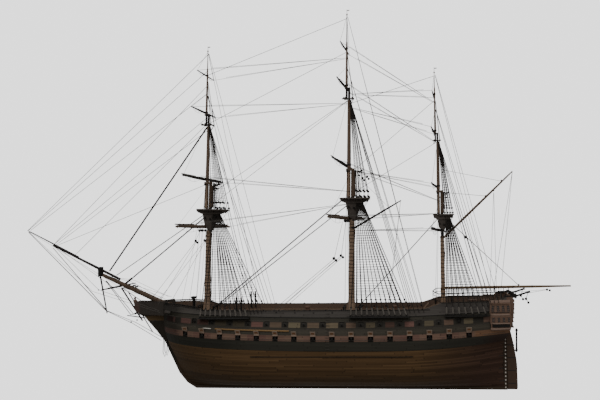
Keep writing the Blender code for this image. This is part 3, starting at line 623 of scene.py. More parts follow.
def dress_nodes():
    """Give each CAD node its finish: by its own name, or by how its name begins or ends."""
    own = {"hull": PLANKING, "keel_and_stem": HEAD_PAINT, "rudder": RUDDER_TIMBER, "figurehead": CARVING,
           "bowsprit": BROWN_SPAR, "jibboom": BLACK_SPAR, "flying_jibboom": BLACK_SPAR,
           "dolphin_striker": BLACK_SPAR, "fore_lower_yard": BROWN_SPAR, "main_lower_yard": BROWN_SPAR,
           "spanker_boom": VARNISHED, "spanker_gaff": BROWN_SPAR, "main_trysail_gaff": BLACK_SPAR,
           "stern_gallery": CARVING}
    for mast, (top, _, trees, tm_cap, _) in MAST_TOPS.items():
        own[mast + "_lower_mast"] = mast_finish(mast + "_lower_mast_wood", top - 0.075, top + 0.006)
        own[mast + "_topmast"] = mast_finish(mast + "_topmast_wood", trees - 0.030, tm_cap + 0.02)
        own[mast + "_topgallant_mast"] = mast_finish(mast + "_topgallant_wood", tm_cap - 0.04, tm_cap + 0.02)
    shared = {"_top": TOP_DARK, "_crosstrees": TOP_DARK, "_yard": BLACK_SPAR, "_stay": DARK_ROPE,
              "head_rail": HEAD_PAINT, "quarter": CARVING, "cathead": GREY_TRIM}
    for name, node in frame["nodes"].items():
        fitting = [finish for part, finish in shared.items() if name.startswith(part) or name.endswith(part)]
        node.data.materials.clear()
        node.data.materials.append(own.get(name) or (fitting + [BLACK_TRIM])[0])


def add_side_mouldings():
    """Rounded mouldings along the sheer and the cap on the bulwark."""
    rows = (("sheer_moulding", 0.2428, -0.628, 0.414, 0.0010, BLACK_TRIM),
            ("strake_moulding", 0.2310, -0.628, 0.414, 0.0006, GREY_TRIM),
            ("wale_moulding", 0.1772, -0.622, 0.462, 0.0006, GREY_TRIM),
            ("port_moulding", 0.2085, -0.624, 0.414, 0.0005, GREY_TRIM))
    cap = ((-0.0052, 0.0), (0.0014, 0.0), (0.0016, 0.0008), (0.0012, 0.0016), (-0.0050, 0.0016))
    steps_in_rail = [-0.494, -0.482, 0.238, 0.246, 0.455, 0.463]
    for label, side in SIDES:
        for name, level, first, last, radius, finish in rows:
            run = [on_side(x, level_height(level, x), side, 0.3 * radius) for x in spread(first, last, 70)]
            ropes(f"{name}_{label}", [run], radius, finish)
        path = []
        for x in sorted(spread(-0.632, 0.487, 90) + steps_in_rail):
            top = at(RAIL, x)
            path.append(Vector((x, side * half_breadth(x, top - 0.0012), top)))
        bm = bmesh.new()
        sweep(bm, [Vector((0.0, side * y, z)) for y, z in cap], path)
        piece("rail_cap_" + label, bm, BLACK_TRIM)


def port_places(ports):
    """Where the ports of one tier are: x and height of each."""
    first, last, number, level = ports[:4]
    return [(x, level_height(level, x)) for x in spread(first, last, number)]


def add_ports():
    """Lid linings with a sunk centre, gun muzzles and half-ports."""
    half_high = LOWER_PORTS[5]
    lining = (0.0166, 0.0012, 0.0154)
    muzzle = ((0.0, 1.0), (0.0095, 0.86), (0.0100, 1.12), (0.0122, 1.16), (0.0130, 0.9), (0.0130, 0.55),
              (0.0095, 0.50))
    for label, side in SIDES:
        lean = Matrix.Rotation(-side * math.radians(LID_LEAN), 4, "X")
        out = lean.to_3x3() @ Vector((0.0, side, 0.0))
        bm = bmesh.new()
        for x, z in port_places(LOWER_PORTS):
            hinge = z + half_high + 0.0012
            centre = Matrix.Translation((x, side * half_breadth(x, hinge), hinge)) @ lean
            face_at = centre @ Matrix.Translation((0.0, side * 0.0016, 0.0068))
            made = bmesh.ops.create_cube(bm, size=1.0,
                                         matrix=face_at @ Matrix.Diagonal((*lining, 1)))["verts"]
            front = max({f for v in made for f in v.link_faces},
                        key=lambda f: (f.calc_center_median() - face_at.translation).dot(out))
            for thickness, depth in ((0.0046, 0.0), (0.0004, -0.0005)):
                bmesh.ops.inset_region(bm, faces=[front], thickness=thickness, depth=depth)
            front.material_index = 1
            box(bm, (0.0166, 0.0030, 0.0052), side_matrix(x, z + half_high - 0.0018, side, 0.0010))
        piece("lower_port_lid_linings_" + label, bm, [LID_TAN, LID_ORANGE], smooth=False)
        bm = bmesh.new()
        for ports, radius, drop in ((LOWER_PORTS, 0.0034, 0.0034), (UPPER_PORTS, 0.0030, 0.0010)):
            for x, z in port_places(ports):
                breech = facing((x, side * (half_breadth(x, z) - 0.007), z - drop), (0.0, side, 0.02))
                turned(bm, breech, [(reach, share * radius) for reach, share in muzzle])
        piece("gun_muzzles_" + label, bm, GUN_IRON)
        bm = bmesh.new()
        for x, z in port_places(UPPER_PORTS):
            box(bm, (0.0146, 0.0010, 0.0136), side_matrix(x, z, side, -0.0014), 0.0002)
        piece("upper_half_ports_" + label, bm, PORT_PAINT, smooth=False)


def deadeye(bm, place, outward, radius):
    """A round block with a grooved rim, flat side outwards."""
    outward = Vector(outward).normalized()
    turned(bm, facing(place - outward * 0.0009, outward),
           [(0.0, 0.72 * radius), (0.0004, radius), (0.0014, radius), (0.0018, 0.72 * radius)])


def ratlines(name, shrouds, first, last, radius, out=0.0):
    """Steps across a fan of shrouds, each shroud given from its foot to its head."""
    steps = []
    z = first
    while z < last:
        step = []
        for low, high in shrouds:
            share = (z - low.z) / (high.z - low.z)
            if share > 0.0:
                step.append(low.lerp(high, share) + Vector((0.0, out, 0.0)))
        steps.append(step)
        z += RATLINE_STEP
    ropes(name, steps, radius, DARK_ROPE, sides=0)


def add_lower_shrouds(mast):
    """Shrouds, ratlines, deadeyes, lanyards and chain plates of one mast."""
    first, last, number, width = CHANNELS[mast]
    middle = (first + last) / 2
    top = MAST_TOPS[mast][0]
    eye = 0.0036
    for label, side in SIDES:
        shrouds, lanyards, plates = [], [], []
        eyes = bmesh.new()
        for k, x in enumerate(spread(first, last, number)):
            low = Vector((x, side * (half_breadth(x, 0.2470) + width), 0.2506))
            high = on_mast(YARDS[mast][0], top - 0.002) + Vector((0.0142 + 0.0013 * k, side * 0.0070, 0.0))
            way = (high - low).normalized()
            upper = low + way * EYES_APART
            for place in (low + way * 0.0026, upper):
                deadeye(eyes, place, (0.0, side, 0.10), eye)
            for shift in (-0.0014, 0.0, 0.0014):
                beside = Vector((shift, side * 0.0010, 0.0))
                lanyards.append([low + way * 0.0030 + beside, upper + beside])
            shrouds.append((upper + way * 0.0024, high))
            foot_x = x + (x - middle) * 0.06
            foot = on_side(foot_x, level_height(0.2330, foot_x), side, 0.0006)
            plates.append([low, low - Vector((0, 0, 0.004)), foot])
        ropes(f"{mast}_shrouds_{label}", shrouds, 0.0013, DARK_ROPE)
        ropes(f"{mast}_lanyards_{label}", lanyards, 0.0008, LANYARD_ROPE, sides=0)
        ropes(f"{mast}_chain_plates_{label}", plates, 0.0006, GUN_IRON)
        piece(f"{mast}_deadeyes_{label}", eyes, BLACK_TRIM)
        ratlines(f"{mast}_ratlines_{label}", shrouds, 0.290, top - 0.030, 0.00055, side * 0.0007)


def mast_frame(yard, z):
    """A frame on a mast's axis at a height, turned to its rake."""
    axis = Vector(JOINTS[yard]["axis"])
    ahead = Vector((axis.z, 0.0, -axis.x))
    return axes(on_mast(yard, z), ahead, Vector((0, 1, 0)), axis)


def add_top_dressing(mast):
    """Topmast and topgallant shrouds, futtocks and deadeyes round one top, and its framing."""
    top, _, trees, _, _ = MAST_TOPS[mast]
    yard, topsail, _, royal = YARDS[mast]
    low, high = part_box(mast + "_top")
    length, wide = high.x - low.x, high.y
    at_top = mast_frame(yard, top)
    fore_x, aft_x = low.x - at_top.translation.x, high.x - at_top.translation.x
    eye, apart = (0.0027, 0.0150) if mast == "mizzen" else (0.0040, 0.0185)
    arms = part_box(mast + "_crosstrees")[1]
    for label, side in SIDES:
        eyes = bmesh.new()
        shrouds, lanyards, futtocks = [], [], []
        for k, x in enumerate(spread(fore_x + 0.58 * length, aft_x - 0.003, TOP_SHROUDS)):
            foot = at_top @ Vector((x, side * (wide - 0.0015), 0.0062))
            head = on_mast(topsail, trees - 0.005) + Vector((0.0030 + 0.0008 * k, side * 0.0045, 0.0))
            upper = foot + (head - foot).normalized() * apart
            for place in (foot, upper):
                deadeye(eyes, place, (0, side, 0), eye)
            lanyards += [[foot + Vector((s, 0, 0)), upper + Vector((s, 0, 0))] for s in (-0.0008, 0.0008)]
            shrouds.append((upper, head))
            futtocks.append([foot, at_top @ Vector((x, side * (wide - 0.0015), -0.002)),
                             at_top @ Vector((x * 0.45 + 0.006, side * 0.0125, -0.040))])
        ropes(f"{mast}_topmast_shrouds_{label}", shrouds, 0.0010, DARK_ROPE)
        ratlines(f"{mast}_topmast_ratlines_{label}", shrouds, top + 0.030, trees - 0.012, 0.00050)
        ropes(f"{mast}_top_lanyards_{label}", lanyards, 0.0004, GREY_ROPE, sides=0)
        ropes(f"{mast}_futtock_shrouds_{label}", futtocks, 0.0006, DARK_ROPE)
        piece(f"{mast}_top_deadeyes_{label}", eyes, BLACK_TRIM)
        head = on_mast(royal, JOINTS[royal]["pos_m"][2] - 0.022) + Vector((0.0028, side * 0.0022, 0.0))
        heel = on_mast(topsail, trees - 0.030) + Vector((0.001, side * 0.0050, 0))
        gallants = [(head, Vector((arms.x - 0.004, side * (arms.y - 0.0012) * share, arms.z - 0.001)), heel)
                    for share in (0.70, 1.0)]
        ropes(f"{mast}_topgallant_shrouds_{label}", gallants, 0.0007, DARK_ROPE)
    bm = bmesh.new()
    for side in (-1.0, 1.0):
        box(bm, (length * 0.56, 0.0026, 0.0050), at_top @ Matrix.Translation((0.0, side * 0.0105, -0.0050)),
            0.0005)
    for x in spread(fore_x + 0.12 * length, aft_x - 0.006, 5):
        across = 2 * wide * (0.60 if x < fore_x + 0.3 * length else 0.92)
        box(bm, (0.0030, across, 0.0030), at_top @ Matrix.Translation((x, 0.0, -0.0040)), 0.0004)
    piece(mast + "_top_framing", bm, TOP_DARK)


# Upper stays and preventers: radius, then the two ends of each rope. An end is a yard with a height on its
# mast and a distance ahead and to starboard, a boom with a place off its tip, or a place in the ship
STAYS = {
    "fore_topmast_stays": (0.0014, (("fore_topsail_yard", 0.874, 0.004, -0.0045), (-0.836, -0.0045, 0.3935)),
                           (("fore_topsail_yard", 0.874, 0.004, 0.0045), (-0.836, 0.0045, 0.3935))),
    "fore_topgallant_stay": (0.0008,
                             (("fore_topgallant_yard", 1.010, 0.003, 0), ("jibboom", 0.003, 0, 0.003))),
    "flying_jib_stay": (0.0008, (("fore_royal_yard", 1.062, 0.003, 0.002),
                                 ("flying_jibboom", 0.004, 0.001, 0.001))),
    "flying_jib_halyard": (0.0008, (("fore_topgallant_yard", 0.985, 0.004, 0.003),
                                    ("flying_jibboom", 0.010, 0.002, 0))),
    "outer_jib_stay": (0.0008,
                       (("fore_topsail_yard", 0.905, 0.004, -0.003), ("jibboom", 0.004, -0.002, 0.003))),
    "jib_halyard": (0.0008, (("fore_topsail_yard", 0.862, 0.005, 0.004), ("jibboom", 0.008, 0.002, 0))),
    "jib_downhaul": (0.0008, (("fore_lower_yard", 0.680, 0.012, -0.003), ("jibboom", 0.012, -0.002, -0.002))),
    "jib_stay": (0.0008, (("fore_topsail_yard", 0.884, 0.004, -0.003), (-0.960, -0.002, 0.4500))),
    "fore_royal_stay": (0.0008, (("fore_royal_yard", 1.118, 0.001, 0), ("flying_jibboom", 0.002, 0, 0.001))),
    "main_topmast_stays": (0.0008, (("main_topsail_yard", 0.940, 0.004, -0.003),
                                    ("fore_lower_yard", 0.650, -0.008, -0.003)),
                           (("main_topsail_yard", 0.940, 0.004, 0.003),
                            ("fore_lower_yard", 0.612, -0.008, 0.003))),
    "main_topgallant_stay": (0.0008, (("main_topgallant_yard", 1.100, 0.002, 0),
                                      ("fore_topsail_yard", 0.886, -0.004, 0))),
    "main_royal_stay": (0.0008,
                        (("main_royal_yard", 1.212, 0.001, 0), ("fore_royal_yard", 1.050, -0.003, 0))),
    "mizzen_topmast_stay": (0.0008, (("mizzen_topsail_yard", 0.790, 0.004, 0),
                                     ("main_lower_yard", 0.640, -0.009, 0))),
    "mizzen_topgallant_stay": (0.0008, (("mizzen_topgallant_yard", 0.925, 0.002, 0),
                                        ("main_lower_yard", 0.712, -0.006, 0))),
    "mizzen_royal_stay": (0.0008,
                          (("mizzen_royal_yard", 1.006, 0.001, 0), ("main_topsail_yard", 0.930, -0.005, 0))),
    "fore_preventer_stay": (0.0015, (("fore_lower_yard", 0.585, 0.010, 0.003), (-0.812, 0.003, 0.3790))),
    "main_preventer_stay": (0.0017, (("main_lower_yard", 0.600, 0.012, 0.004), (-0.455, 0.004, 0.2720))),
}


def stay_end(where):
    """The place of one end of a stay, as the table gives it."""
    if where[0] in ("jibboom", "flying_jibboom"):
        return tip(where[0], (-1, 0, 0.4)) + Vector(where[1:])
    if isinstance(where[0], str):
        yard, height, ahead, aside = where
        return on_mast(yard, height) + Vector((-ahead, aside, 0.0))
    return Vector(where)


def add_stays():
    """The stays of the table."""
    for name, (radius, *runs) in STAYS.items():
        ropes(name, [[stay_end(where) for where in run] for run in runs], radius, DARK_ROPE)


def add_backstays(mast):
    """Backstays from the topmast, topgallant and royal heads down to the channel's after end."""
    _, _, trees, _, truck = MAST_TOPS[mast]
    _, topsail, topgallant, royal = YARDS[mast]
    last = CHANNELS[mast][1]
    apart = 0.014 if mast == "main" else 0.012
    heads = [(topsail, trees - 0.008, 0.0010), (topsail, trees - 0.003, 0.0010),
             (topgallant, trees + 0.10, 0.0008), (royal, truck - 0.006, 0.0007)]
    for label, side in SIDES:
        for k, (yard, z, radius) in enumerate(heads):
            x = last + apart * (k + 1) - 0.004
            foot_z = 0.2720 if x > 0.246 else 0.2560
            foot = Vector((x, side * (half_breadth(x, 0.2550) + 0.004), foot_z))
            head = on_mast(yard, z) + Vector((0.003, side * 0.0035, 0.0))
            ropes(f"{mast}_backstay_{k}_{label}", [[head, foot]], radius, DARK_ROPE)


# Where the braces of each mast's yards lead: yard of the mast they go to, height on it, distance abaft it
BRACE_LEADS = {"fore": (("main_lower_yard", 0.600, -0.010), ("main_lower_yard", 0.640, -0.009),
                        ("main_topsail_yard", 0.930, -0.006), ("main_topgallant_yard", 1.080, -0.004)),
               "main": (("crossjack_yard", 0.560, -0.008), ("crossjack_yard", 0.600, -0.007),
                        ("mizzen_topsail_yard", 0.790, -0.006), ("mizzen_topgallant_yard", 0.920, -0.003)),
               "mizzen": (("main_lower_yard", 0.512, 0.012), ("main_lower_yard", 0.705, 0.010),
                          ("main_topsail_yard", 0.915, 0.008), ("main_topsail_yard", 0.960, 0.006))}


def yard_footropes(yard, big):
    """The slack rope under each half of a yard, with two short ropes that hold it up."""
    lines = []
    for side in (-1.0, 1.0):
        a = arm(yard, side * 0.19) - Vector((0, 0, 0.003))
        b = arm(yard, side * 0.93)
        lines.append(sag(a, b, 0.016 * big, 9))
        for percent in (35, 64):
            hang = sag(a, b, 0.016 * big, 101)[percent]
            lines.append([arm(yard, side * (0.19 + 0.74 * percent / 100)), hang])
    ropes(yard + "_footropes", lines, 0.0004, DARK_ROPE, body=yard, sides=0)


def yard_fittings(yard, big, with_rods):
    """Blocks and bands at the arms and, on the heavier yards, iron rods for the sail's head."""
    bm = bmesh.new()
    for side in (-1.0, 1.0):
        for share, drop in ((0.96, 0.0030), (0.90, -0.0036)):
            place = arm(yard, side * share) - Vector((0, 0, drop * big))
            box(bm, (0.0030 * big, 0.0020 * big, 0.0042 * big), place, 0.0006 * big)
        rod(bm, arm(yard, side * 0.985), arm(yard, side * 0.965), 0.0024 * big)
    if with_rods:
        above = Vector((-0.0030 * big, 0, 0.0050 * big))
        for side in (-1.0, 1.0):
            rod(bm, arm(yard, side * 0.42) + above, arm(yard, side * 0.90) + above, 0.0016 * big, 6)
            for share in (0.46, 0.68, 0.86):
                foot = arm(yard, side * share)
                rod(bm, foot, foot + above * 1.2, 0.0008, 6)
    piece(yard + "_fittings", bm, BLACK_SPAR, body=yard)


def add_yard_gear(mast):
    """Footropes and blocks on each yard, and the lifts and braces that lead off it."""
    _, cap, _, tm_cap, truck = MAST_TOPS[mast]
    lower, topsail, topgallant, royal = YARDS[mast]
    lift_heads = ((lower, cap), (topsail, tm_cap - 0.02),
                  (topgallant, JOINTS[topgallant]["pos_m"][2] + 0.060), (royal, truck - 0.004))
    for k, ((yard, lift_z), (lead_yard, lead_z, lead_x)) in enumerate(zip(lift_heads, BRACE_LEADS[mast])):
        big = 1.0 - 0.2 * k
        yard_footropes(yard, big)
        yard_fittings(yard, big, with_rods=k < 2)
        for label, side in SIDES:
            end = arm(yard, side * 0.96)
            head = on_mast(yard, lift_z) + Vector((0.0, side * 0.005, 0.0))
            soft_ropes(f"{yard}_lift_{label}", [along(head, end)], 0.0005, DARK_ROPE,
                       sides=0)
            far = on_mast(lead_yard, lead_z) + Vector((lead_x, side * 0.006, 0.0))
            block = end.lerp(far, 0.10)
            back = [far.lerp(block, t) + Vector((0, 0, 0.003 * t)) for t in spread(0, 1, 7)]
            soft_ropes(f"{yard}_brace_{label}", [along(far, end), back], 0.0006, GREY_ROPE,
                       sides=0)


# Search trees that have been made so far
TREES = {"hull": HULL}


def meet(names, place, direction):
    """Where a straight look first meets one of some CAD nodes: the place and its outward direction.

    A look that slips past an edge is tried again from a little lower down.
    """
    for nudge in (0.0, -0.0012, -0.0025, -0.0050):
        best = None
        for name in names:
            if name not in TREES:
                TREES[name] = node_tree_of(name)
            start = Vector(place) + Vector((nudge if abs(direction[0]) < 0.5 else 0.0, 0.0, nudge / 2))
            hit, normal, _, far = TREES[name].ray_cast(start, Vector(direction).normalized())
            if hit is not None and (best is None or far < best[2]):
                best = (hit, normal, far)
        if best:
            return best[0], best[1]
    raise ValueError(f"nothing of {names} at {tuple(place)}")


def face_frame(names, place, direction):
    """A frame on the surface met: local x along it, y outwards, z up."""
    hit, normal = meet(names, place, direction)
    look = -Vector(direction).normalized()
    outward = normal if normal.dot(look) > 0.3 else look
    up = (Vector((0.0, 0.0, 1.0)) - outward * outward.z).normalized()
    return axes(hit, outward.cross(up), outward, up)


def from_side(names, x, z, side):
    """A frame on the surface that is met at x and z from one side."""
    return face_frame(names, (x, side * 0.5, z), (0, -side, 0))


def from_astern(names, y, z):
    """A frame on the surface that is met at y and z from astern."""
    return face_frame(names, (0.9, y, z), (-1, 0, 0))


def pulley(bm, place, size):
    """A rope block: a fat little egg with flat ends."""
    up = Vector((0.0, 0.0, 1.0))
    profile = ((0.0, 0.35), (0.35, 0.85), (1.0, 1.0), (1.65, 0.85), (2.0, 0.35))
    turned(bm, facing(Vector(place) - up * size, up), [(z * size, radius * size) for z, radius in profile], 8)


def both_sides(points, side):
    """Points given on the port side or the centre plane, moved to one side."""
    return [Vector((x, side * abs(y), z)) for x, y, z in points]


def mast_radius(node, yard, z):
    """How far a spar reaches ahead of the mast axis that a yard turns round."""
    centre = on_mast(yard, z)
    return centre.x - meet([node], centre - Vector((0.1, 0.0, 0.0)), (1, 0, 0))[0].x


def add_mast_woldings(mast):
    """Fishes that thicken the lower mast, and the rope hoops round them."""
    top = MAST_TOPS[mast][0]
    yard = YARDS[mast][0]
    name = mast + "_lower_mast"
    _, fish, lead = MAST_GIRTHS[mast]

    def sleeve(z):
        """A frame on the mast at a height, and the radius of what goes round it there."""
        return mast_frame(yard, z) @ Matrix.Translation((-lead, 0.0, 0.0)), mast_radius(name, yard, z) + fish

    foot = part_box(name)[0].z + 0.004
    bm = bmesh.new()
    heights = spread(foot, top - 0.070, 8)
    for z0, z1 in zip(heights, heights[1:]):
        at_foot, wide0 = sleeve(z0)
        wide1 = sleeve(z1)[1]
        turned(bm, at_foot, [(-0.0002, wide0 - 0.0002), (0.0, wide0), (z1 - z0, wide1),
                             (z1 - z0 + 0.0002, wide1 - 0.0002)], 14)
    piece(mast + "_mast_fishes", bm, MAST_WOOD)
    bm = bmesh.new()
    z = foot + 0.008
    while z < top - 0.078:
        at_hoop, round_it = sleeve(z)
        turned(bm, at_hoop, [(-0.0014, round_it + 0.0001), (-0.0008, round_it + 0.0007),
                             (0.0008, round_it + 0.0007), (0.0014, round_it + 0.0001)], 14)
        z += HOOP_STEP
    piece(mast + "_mast_woldings", bm, BINDING)


def add_masthead(mast):
    """The doubled masthead, varnish on the upper masts, and the cheeks and arms under the top."""
    top, cap, trees, tm_cap, _ = MAST_TOPS[mast]
    yard, topsail, topgallant, royal = YARDS[mast]
    low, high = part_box(mast + "_top")
    length, wide = high.x - low.x, high.y
    big = TOP_SCALES[mast]
    bm = bmesh.new()
    foot, head = top + 0.006, cap - 0.008
    for holder, ahead, thick, paint in ((yard, 0.0020 * big, 0.0080 * big, 0),
                                        (topsail, -0.0014 * big, MAST_GIRTHS[mast][0], 1)):
        turned(bm, mast_frame(holder, foot) @ Matrix.Translation((ahead, 0.0, 0.0)),
               [(0.0, 0.8 * thick), (0.002, thick), (head - foot - 0.002, 0.94 * thick),
                (head - foot, 0.75 * thick)], 14, paint)
    piece(mast + "_masthead_bibs", bm, [BROWN_SPAR, MAST_WOOD])
    royal_height = JOINTS[royal]["pos_m"][2]
    for node, holder, foot, head, more in (
            (mast + "_topmast", topsail, cap + 0.006, trees - 0.006, 0.0014),
            (mast + "_topgallant_mast", topgallant, tm_cap + 0.004, royal_height + 0.020, 0.0008)):
        bm = bmesh.new()
        rings = [(z - foot, mast_radius(node, holder, z) + more) for z in spread(foot, head, 5)]
        (first_z, first_r), (last_z, last_r) = rings[0], rings[-1]
        turned(bm, mast_frame(holder, foot),
               [(first_z - 0.001, first_r - more)] + rings + [(last_z + 0.001, last_r - more)], 12)
        piece(node + "_varnish", bm, TOPMAST_WOOD)
    bm = bmesh.new()
    at_top = mast_frame(yard, top)
    turned(bm, at_top, [(-0.074 * big, 0.0086 * big), (-0.058 * big, 0.0098 * big), (-0.020, 0.0104 * big),
                        (-0.004, 0.0100 * big)], 14)
    cheek = ((-0.30 * length, -0.002), (-0.24 * length, -0.009), (-0.013 * big, -0.060 * big),
             (0.010 * big, -0.070 * big), (0.30 * length, -0.010), (0.34 * length, -0.002))
    trestletree = ((-0.42 * length, -0.002), (-0.40 * length, -0.007), (-0.25 * length, -0.015),
                   (0.30 * length, -0.015), (0.50 * length, -0.008), (0.53 * length, -0.002))
    for side in (-1.0, 1.0):
        for outline, y, thick in ((cheek, 0.0088, 0.0034), (trestletree, 0.0135, 0.0030)):
            board(bm, [at_top @ Vector((x, side * y, z)) for x, z in outline],
                  Vector((0.0, side * thick, 0.0)))
        for x in spread(-0.34 * length, 0.48 * length, 6):
            reach = (wide - 0.006) * (0.8 if x < 0 else 1.0)
            rod(bm, at_top @ Vector((x, side * 0.012, -0.0085)), at_top @ Vector((x, side * reach, -0.0042)),
                0.0034, 6, 0.45)
    piece(mast + "_cheeks_and_crosstrees", bm, TOP_DARK)


def add_top_tackle(mast):
    """Blocks about the top and caps, the lines beside the masthead, and the vane on the truck."""
    top, cap, trees, tm_cap, _ = MAST_TOPS[mast]
    yard, topsail, _, royal = YARDS[mast]
    big = TOP_SCALES[mast]
    at_top = mast_frame(yard, top)
    bm = bmesh.new()
    for side in (-1.0, 1.0):
        for x, drop in ((-0.012, 0.028), (0.006, 0.032), (0.024, 0.024)):
            pulley(bm, at_top @ Vector((x * big, side * 0.020 * big, -drop)), 0.0038 * big)
        for z in (cap - 0.008, cap - 0.020):
            pulley(bm, on_mast(yard, z) + Vector((0.021 * big, side * 0.008, 0)), 0.0034 * big)
        for x, z in ((-0.0114, tm_cap - 0.030), (0.0036, trees - 0.016)):
            pulley(bm, on_mast(topsail, z) + Vector((x, side * 0.006, 0)), 0.0026 * big)
        for x in (-0.0190, 0.0290):
            pulley(bm, on_mast(yard, cap - 0.005) + Vector((x * big, side * 0.005, 0)), 0.0036 * big)
    piece(mast + "_top_blocks", bm, BLACK_TRIM)
    lines = []
    for side in (-1.0, 1.0):
        for x0, x1, y in ((-0.0165, -0.0205, 0.005), (0.0105, 0.0135, 0.006), (0.0150, 0.0215, 0.008)):
            lines.append([on_mast(yard, cap - 0.002) + Vector((x0 * big, side * y, 0)),
                          at_top @ Vector((x1 * big, side * y, 0.003))])
    ropes(mast + "_masthead_lines", lines, 0.0013, DARK_ROPE)
    bm = bmesh.new()
    pole = on_mast(royal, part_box(mast + "_topgallant_mast")[1].z - 0.001)
    rod(bm, pole, pole + Vector((0, 0, 0.014)), 0.0007, 6)
    box(bm, (0.0085, 0.0008, 0.0030), pole + Vector((0.0042, 0, 0.0110)), 0.0003)
    piece(mast + "_vane", bm, GREY_TRIM)


# Lines that don't move: radius, rope, and runs of points, taken to both sides unless on the centre plane
LINES = {
    "fore_stay_rope": (0.0022, "dark", [[(-0.4856, 0, 0.5775), (-0.7750, 0, 0.3530)]]),
    "fore_stay_collar": (0.0036, "dark", [[(-0.7560, 0, 0.3686), (-0.7870, 0, 0.3440)]]),
    "main_stay_rope": (0.0021, "dark", [[(-0.0300, 0, 0.6144), (-0.4790, 0, 0.2584)]]),
    "mizzen_stay_rope": (0.0016, "dark", [[(0.2820, 0, 0.5510), (0.0034, 0, 0.2548)]]),
    "bobstays": (0.0020, "dark", [[(-0.794, 0.002, 0.336), (-0.721, 0.002, 0.224)]]),
    "lower_bobstay": (0.0017, "dark", [[(-0.770, 0.0, 0.322), (-0.686, 0.0, 0.186)]]),
    "cap_bobstays": (0.0013, "dark",
                     [[(-0.849, 0.003, 0.361), (-0.758, 0.012, 0.246), (-0.728, 0.030, 0.252)]]),
    "bowsprit_shrouds": (0.0012, "dark", [[(-0.790, 0.006, 0.338), (-0.640, 0.084, 0.262)]]),
    "jib_guys": (0.0007, "grey", [[(-1.035, 0.003, 0.484), (-0.850, 0.060, 0.335), (-0.630, 0.096, 0.268)]]),
    "flying_jib_guys": (0.0006, "grey",
                        [[(-1.128, 0.002, 0.535), (-0.850, 0.110, 0.334), (-0.625, 0.100, 0.262)]]),
    "martingale_stays": (0.0008, "grey", [[(-1.130, 0.001, 0.534), (-0.851, 0.002, 0.260)],
                                          [(-1.040, 0.001, 0.477), (-0.851, 0.002, 0.264)]]),
    "martingale_back_ropes": (0.0010, "dark", [[(-0.851, 0.002, 0.260), (-0.751, 0.014, 0.217),
                                                (-0.650, 0.018, 0.160)]]),
    "bowsprit_man_ropes": (0.0006, "grey",
                           [[(-0.846, 0.008, 0.376), (-0.755, 0.020, 0.3600), (-0.640, 0.034, 0.302)],
                            [(-0.757, 0.012, 0.345), (-0.628, 0.034, 0.300)]]),
    "fore_yard_tackles": (0.0007, "grey", [[(-0.499, 0.040, 0.530), (-0.513, 0.054, 0.494)],
                                           [(-0.515, 0.054, 0.488), (-0.6790, 0.052, 0.290)],
                                           [(-0.511, 0.054, 0.488), (-0.6400, 0.072, 0.286)]]),
    "main_yard_tackles": (0.0008, "grey", [[(-0.0270, 0.060, 0.540), (-0.0498, 0.120, 0.430)],
                                           [(-0.0530, 0.120, 0.424), (-0.2500, 0.128, 0.266)],
                                           [(-0.0490, 0.120, 0.420), (-0.2330, 0.128, 0.266)]]),
    "main_burton_falls": (0.0006, "grey", [[(-0.012, 0.030, 0.590), (-0.010, 0.120, 0.262)],
                                           [(-0.016, 0.030, 0.590), (-0.022, 0.120, 0.262)]]),
    "fore_burton_falls": (0.0006, "grey", [[(-0.498, 0.030, 0.560), (-0.530, 0.100, 0.274)],
                                           [(-0.494, 0.030, 0.560), (-0.505, 0.104, 0.272)]]),
    "fore_clue_garnets": (0.0005, "grey", [[(-0.507, 0.050, 0.536), (-0.552, 0.112, 0.276)],
                                           [(-0.488, 0.050, 0.536), (-0.502, 0.112, 0.270)]]),
    "davit_falls": (0.0009, "grey", [[(0.5390, 0.055, 0.3090), (0.5330, 0.055, 0.2890)],
                                     [(0.5330, 0.055, 0.2890), (0.5394, 0.055, 0.2773)]]),
    "stem_chain": (0.0012, "dark",
                   [[(-0.6464, 0.004, 0.179), (-0.6475, 0.010, 0.119), (-0.6407, 0.012, 0.105),
                     (-0.6334, 0.010, 0.125), (-0.6324, 0.006, 0.179)]]),
    "mizzen_topsail_sheet_lines": (0.0005, "grey", [[(0.276, 0.020, 0.545), (0.262, 0.085, 0.290)]]),
}
# Rope blocks on both sides: place and size
BLOCKS = {
    "bow": [(-0.514, 0.054, 0.4905, 0.0048), (-0.508, 0.054, 0.4850, 0.0040), (-0.751, 0.028, 0.223, 0.0029),
            (-0.7395, 0.008, 0.3400, 0.0032), (-0.7490, 0.008, 0.3430, 0.0032),
            (-0.7340, 0.034, 0.2520, 0.0032), (-0.850, 0.060, 0.3345, 0.0024),
            (-0.5105, 0.020, 0.5248, 0.0045), (-0.5019, 0.022, 0.5246, 0.0045),
            (-0.4898, 0.022, 0.5243, 0.0045)],
    "main": [(-0.0520, 0.120, 0.4270, 0.0048), (-0.0450, 0.120, 0.4210, 0.0045),
             (-0.0224, 0.022, 0.5437, 0.0045), (-0.0126, 0.022, 0.5435, 0.0045),
             (0.0400, 0.050, 0.6790, 0.0040), (0.0545, 0.050, 0.6827, 0.0040)],
    "stern": [(0.5327, 0.055, 0.2890, 0.0040), (0.5394, 0.055, 0.2773, 0.0038),
              (0.360, 0.010, 0.482, 0.0045)],
}


